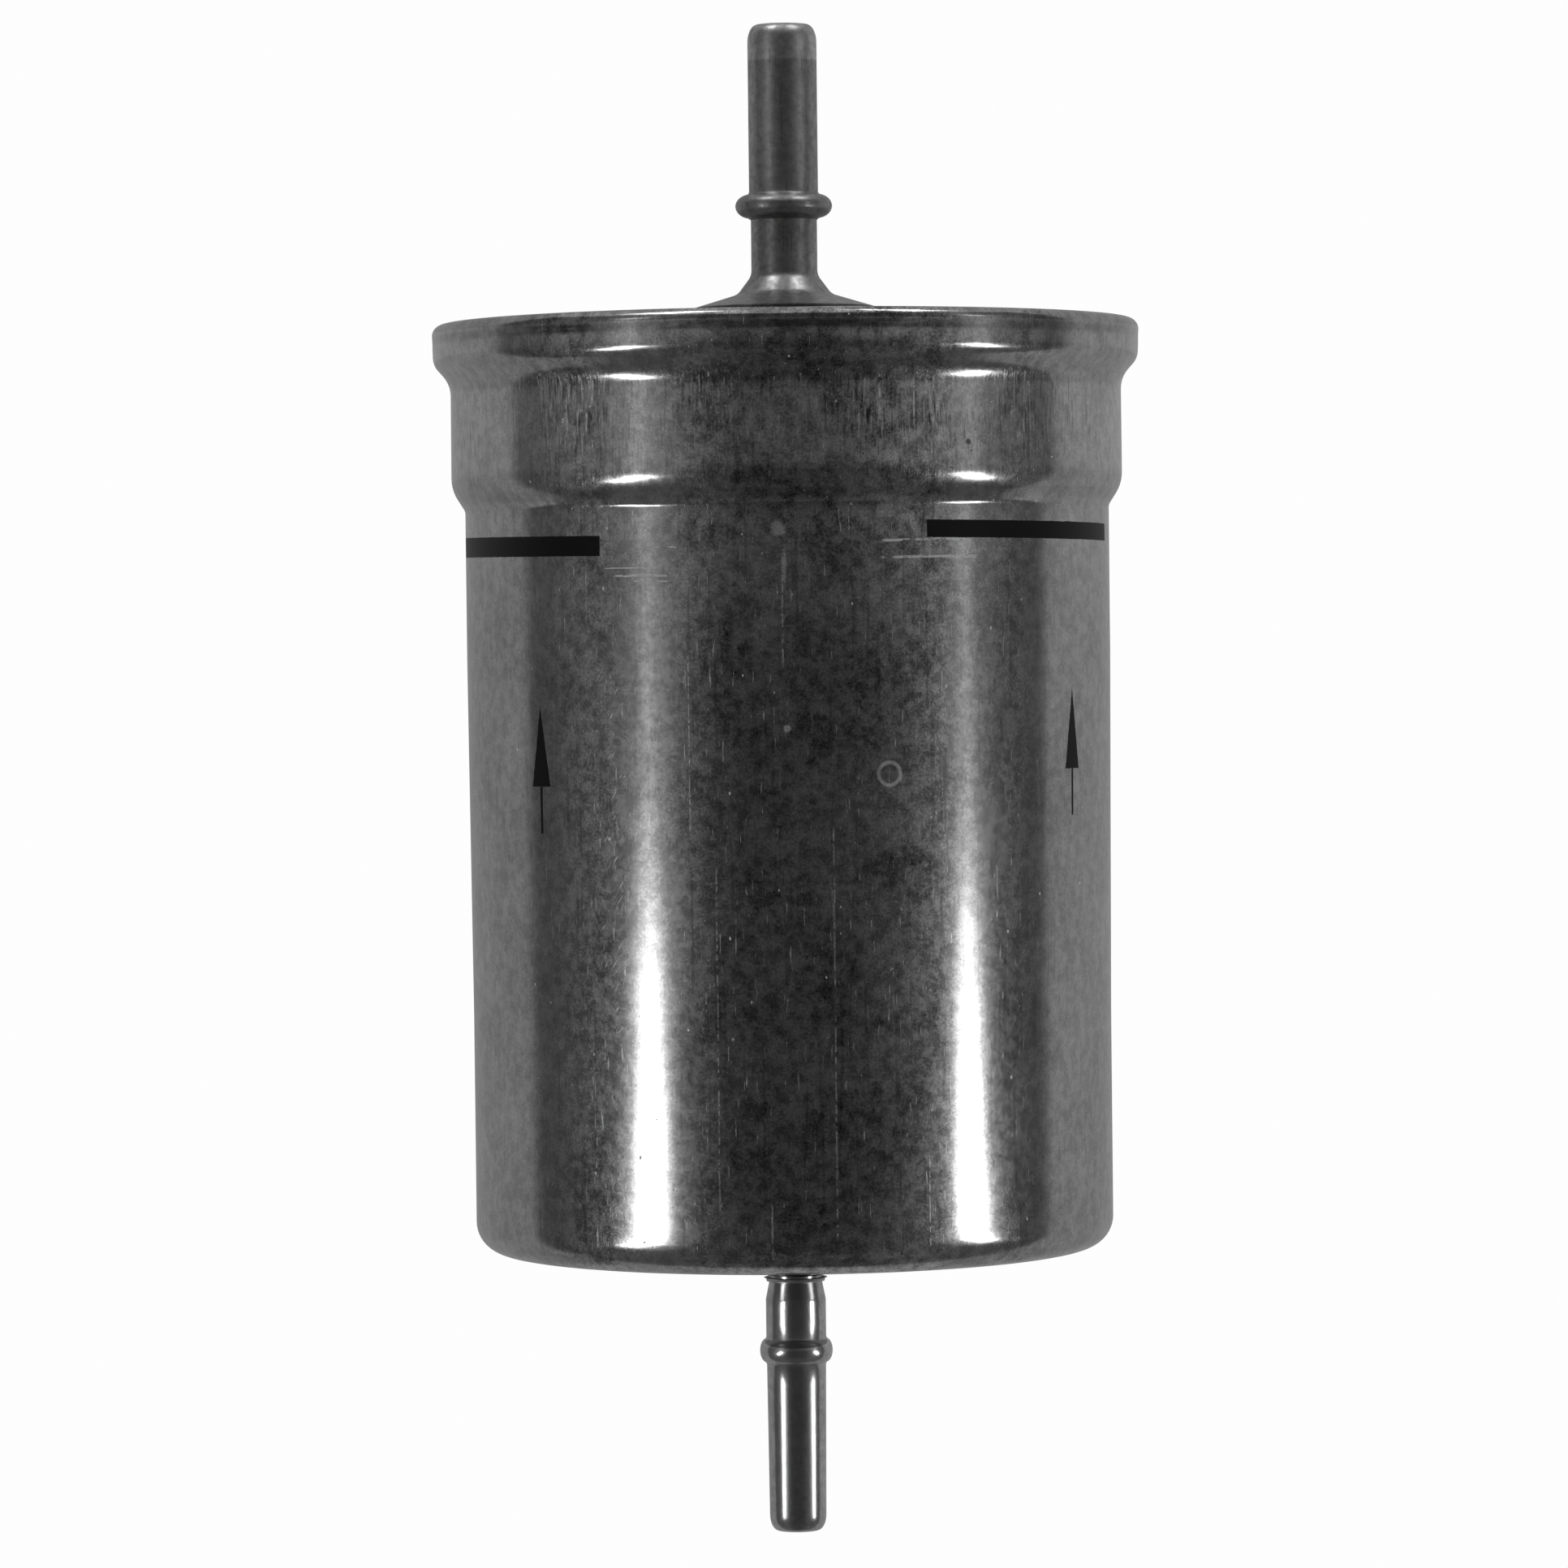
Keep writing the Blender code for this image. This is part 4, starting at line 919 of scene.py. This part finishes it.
def light_tent():
    """Upright cylinder round the object, facing inwards, its glow given by tent_glow at each point."""
    low, high = FLOOR_HEIGHT / MM, TENT_HIGH / MM
    height = np.concatenate([np.arange(low, 120.0, 4.0), np.linspace(120.0, high, 20)])
    a, z = np.meshgrid(np.radians(np.arange(-180.0, 180.0, 1.0)), height, indexing="ij")
    tent = shaped("light_tent", polar(a, TENT_RADIUS / MM, z), quads(*a.shape, columns_join=False))
    tent.visible_camera = False
    return glowing(tent, tent_glow(a, z))


def level_disc(name, height, radii, glow):
    """Flat disc of rings, with its glow given by angle and radius."""
    a, r = np.meshgrid(np.radians(np.arange(-180.0, 180.0, 2.0)), np.asarray(radii) / MM, indexing="ij")
    disc = shaped(name, polar(a, r, height / MM), quads(*a.shape, columns_join=False))
    return glowing(disc, glow(a, r))


def floor_glow(angle, radius):
    """The floor carries the side sheets' glow under the object, and stays dim towards the camera."""
    off = np.abs(np.degrees(angle))
    return 0.06 + 0.05 * step(off, 20.0, 60.0) + 0.16 * step(off, 92.0, 104.0)


def ceiling_glow(angle, radius):
    """A dim ceiling with a soft patch over each light strip."""
    turn = np.degrees(angle)
    glow = np.full_like(turn * radius, CEILING_GLOW)
    for middle in CEILING_PATCHES:
        patch = step(np.abs(turn - middle), 16.0, 7.0) * window(radius, 110.0, 170.0, 270.0, 320.0)
        glow = glow + PATCH_GLOW * patch
    return glow


def make_studio():
    """Light tent, floor, ceiling and world."""
    glow = glow_material("studio_glow")
    floor = level_disc("floor", FLOOR_HEIGHT, FLOOR_RADII, floor_glow)
    ceiling = level_disc("ceiling", TENT_HIGH, np.linspace(0.001, TENT_RADIUS, 22), ceiling_glow)
    ceiling.visible_camera = False
    for surface in (light_tent(), floor, ceiling):
        surface.data.materials.append(glow)
    world = bpy.data.worlds.new("studio")
    bpy.context.scene.world = world
    world.use_nodes = True
    w = Wiring(world.node_tree)
    seen = w.node("ShaderNodeLightPath").outputs["Is Camera Ray"]
    background = world.node_tree.nodes["Background"].inputs
    w.join(background["Strength"], w.blend(seen, WORLD_GLOW, WHITE))
    background["Color"].default_value = (1.0, 1.0, 1.0, 1.0)
    bpy.context.scene.view_settings.view_transform = "Standard"


def make_camera():
    """Long lens level with the object's middle, looking a little down, with its small roll."""
    data = bpy.data.cameras.new("camera")
    data.lens, data.sensor_width = LENS, SENSOR
    camera = bpy.data.objects.new("camera", data)
    bpy.context.scene.collection.objects.link(camera)
    place = Vector((CAMERA_SIDE, -CAMERA_DISTANCE, CAMERA_HEIGHT))
    look = Vector((CAMERA_SIDE, 0.0, AIM_HEIGHT)) - place
    turn = look.to_track_quat("-Z", "Y").to_matrix().to_4x4()
    roll = Matrix.Rotation(math.radians(CAMERA_ROLL), 4, "Z")
    camera.matrix_world = Matrix.Translation(place) @ turn @ roll
    bpy.context.scene.camera = camera


def fit_shell():
    """The pieces that show: can, lid, both tubes."""
    dull_tube = plain_steel("dull_tube_steel", 0.3, 0.5, 0.32, 0.4, blotch=0.9, grain=0.16, relief=0.0012,
                            streaks=0.5, bright_above=SWAGED_END)
    bright_tube = plain_steel("bright_tube_steel", 0.48, 0.68, 0.17, 0.23, blotch=1.6, relief=0.0008,
                              streaks=0.2)
    lid_steel = plain_steel("lid_steel", 0.36, 0.55, 0.28, 0.42)
    settle(drawn_can(), "housing", can_finish(), "can_steel", "housing_can")
    settle(rolled_in_lid(), "housing", lid_steel, "lid_steel", "end_cover")
    settle(outlet_stub(), "housing", dull_tube, "dull_tube_steel", "outlet_tube")
    settle(inlet_stub(), "housing", bright_tube, "bright_tube_steel", "inlet_tube")


def fit_inside():
    """The fillets, the pieces that the can hides, and finishes for the two whose CAD shape is kept."""
    inner = plain_steel("inner_steel", 0.45, 0.6, 0.25, 0.4)
    cap = plain_steel("cap_steel", 0.42, 0.6, 0.3, 0.45)
    rubber = plain_soft("seal_rubber", (0.02, 0.02, 0.021), 0.5)
    potting = plain_soft("potting", (0.06, 0.12, 0.2), 0.45)
    paper = plain_soft("filter_paper", (0.6, 0.44, 0.2), 0.9, 0.12)
    braze = plain_steel("braze", 0.38, 0.55, 0.3, 0.5)

    upper_fillet = braze_fillet(OUTLET_FILLET_RADIUS, cone_height(OUTLET_FILLET_RADIUS, LID_DROP) + GAP,
                                OUTLET_FILLET_REACH, OUTLET_FILLET_RISE)
    settle(turned("outlet_fillet", upper_fillet), "housing", braze, "braze", "outlet_braze_ring")
    settle(turned("inlet_fillet", braze_fillet(*INLET_FILLET)), "housing", braze, "braze", "inlet_braze_ring")
    gasket = turned("gasket", soft_ring(*GASKET, 0.3), CAN_AROUND)
    settle(gasket, "housing", rubber, "seal_rubber", "seam_gasket")
    settle(spigot(), "housing", inner, "inner_steel", "outlet_spigot")
    seal = arc((SEAL_RADIUS, SEAL_HEIGHT), (SEAL_SECTION, SEAL_SECTION), 0.0, 345.0, 24)
    settle(turned("seal", seal), "element", rubber, "seal_rubber", "outlet_seal")
    settle(turned("washer", soft_ring(*WASHER, 0.15)), "element", inner, "inner_steel", "seal_retainer")
    settle(upper_cap(), "element", cap, "cap_steel", "upper_end_cap")
    settle(lower_cap(), "element", cap, "cap_steel", "lower_end_cap")
    upper, lower = soft_ring(*UPPER_COMPOUND, 0.3), soft_ring(*LOWER_COMPOUND, 0.3, COMPOUND_DISH)
    settle(turned("upper_compound", upper), "element", potting, "potting", "upper_potting")
    settle(turned("lower_compound", lower), "element", potting, "potting", "lower_potting")
    settle(pleats(), "element", paper, "filter_paper", "pleated_media")
    settle(seam_clip(), "element", inner, "inner_steel", "media_seam_clip")
    settle(pierced_core(), "element", inner, "inner_steel", "core_tube")
    coil, dark_steel = spring(), plain_steel("spring_steel", 0.2, 0.3, 0.25, 0.35)
    settle(coil, "housing", dark_steel, "spring_steel", "support_spring")
    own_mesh(coil)
    gauze = plain_soft("gauze", (0.7, 0.7, 0.66), 0.7, 0.1)
    for name, finish in (("support_plate", inner), ("lint_strainer", gauze)):
        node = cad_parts[name]
        node.data.materials.clear()
        node.data.materials.append(finish)


fit_shell()
fit_inside()
make_studio()
make_camera()
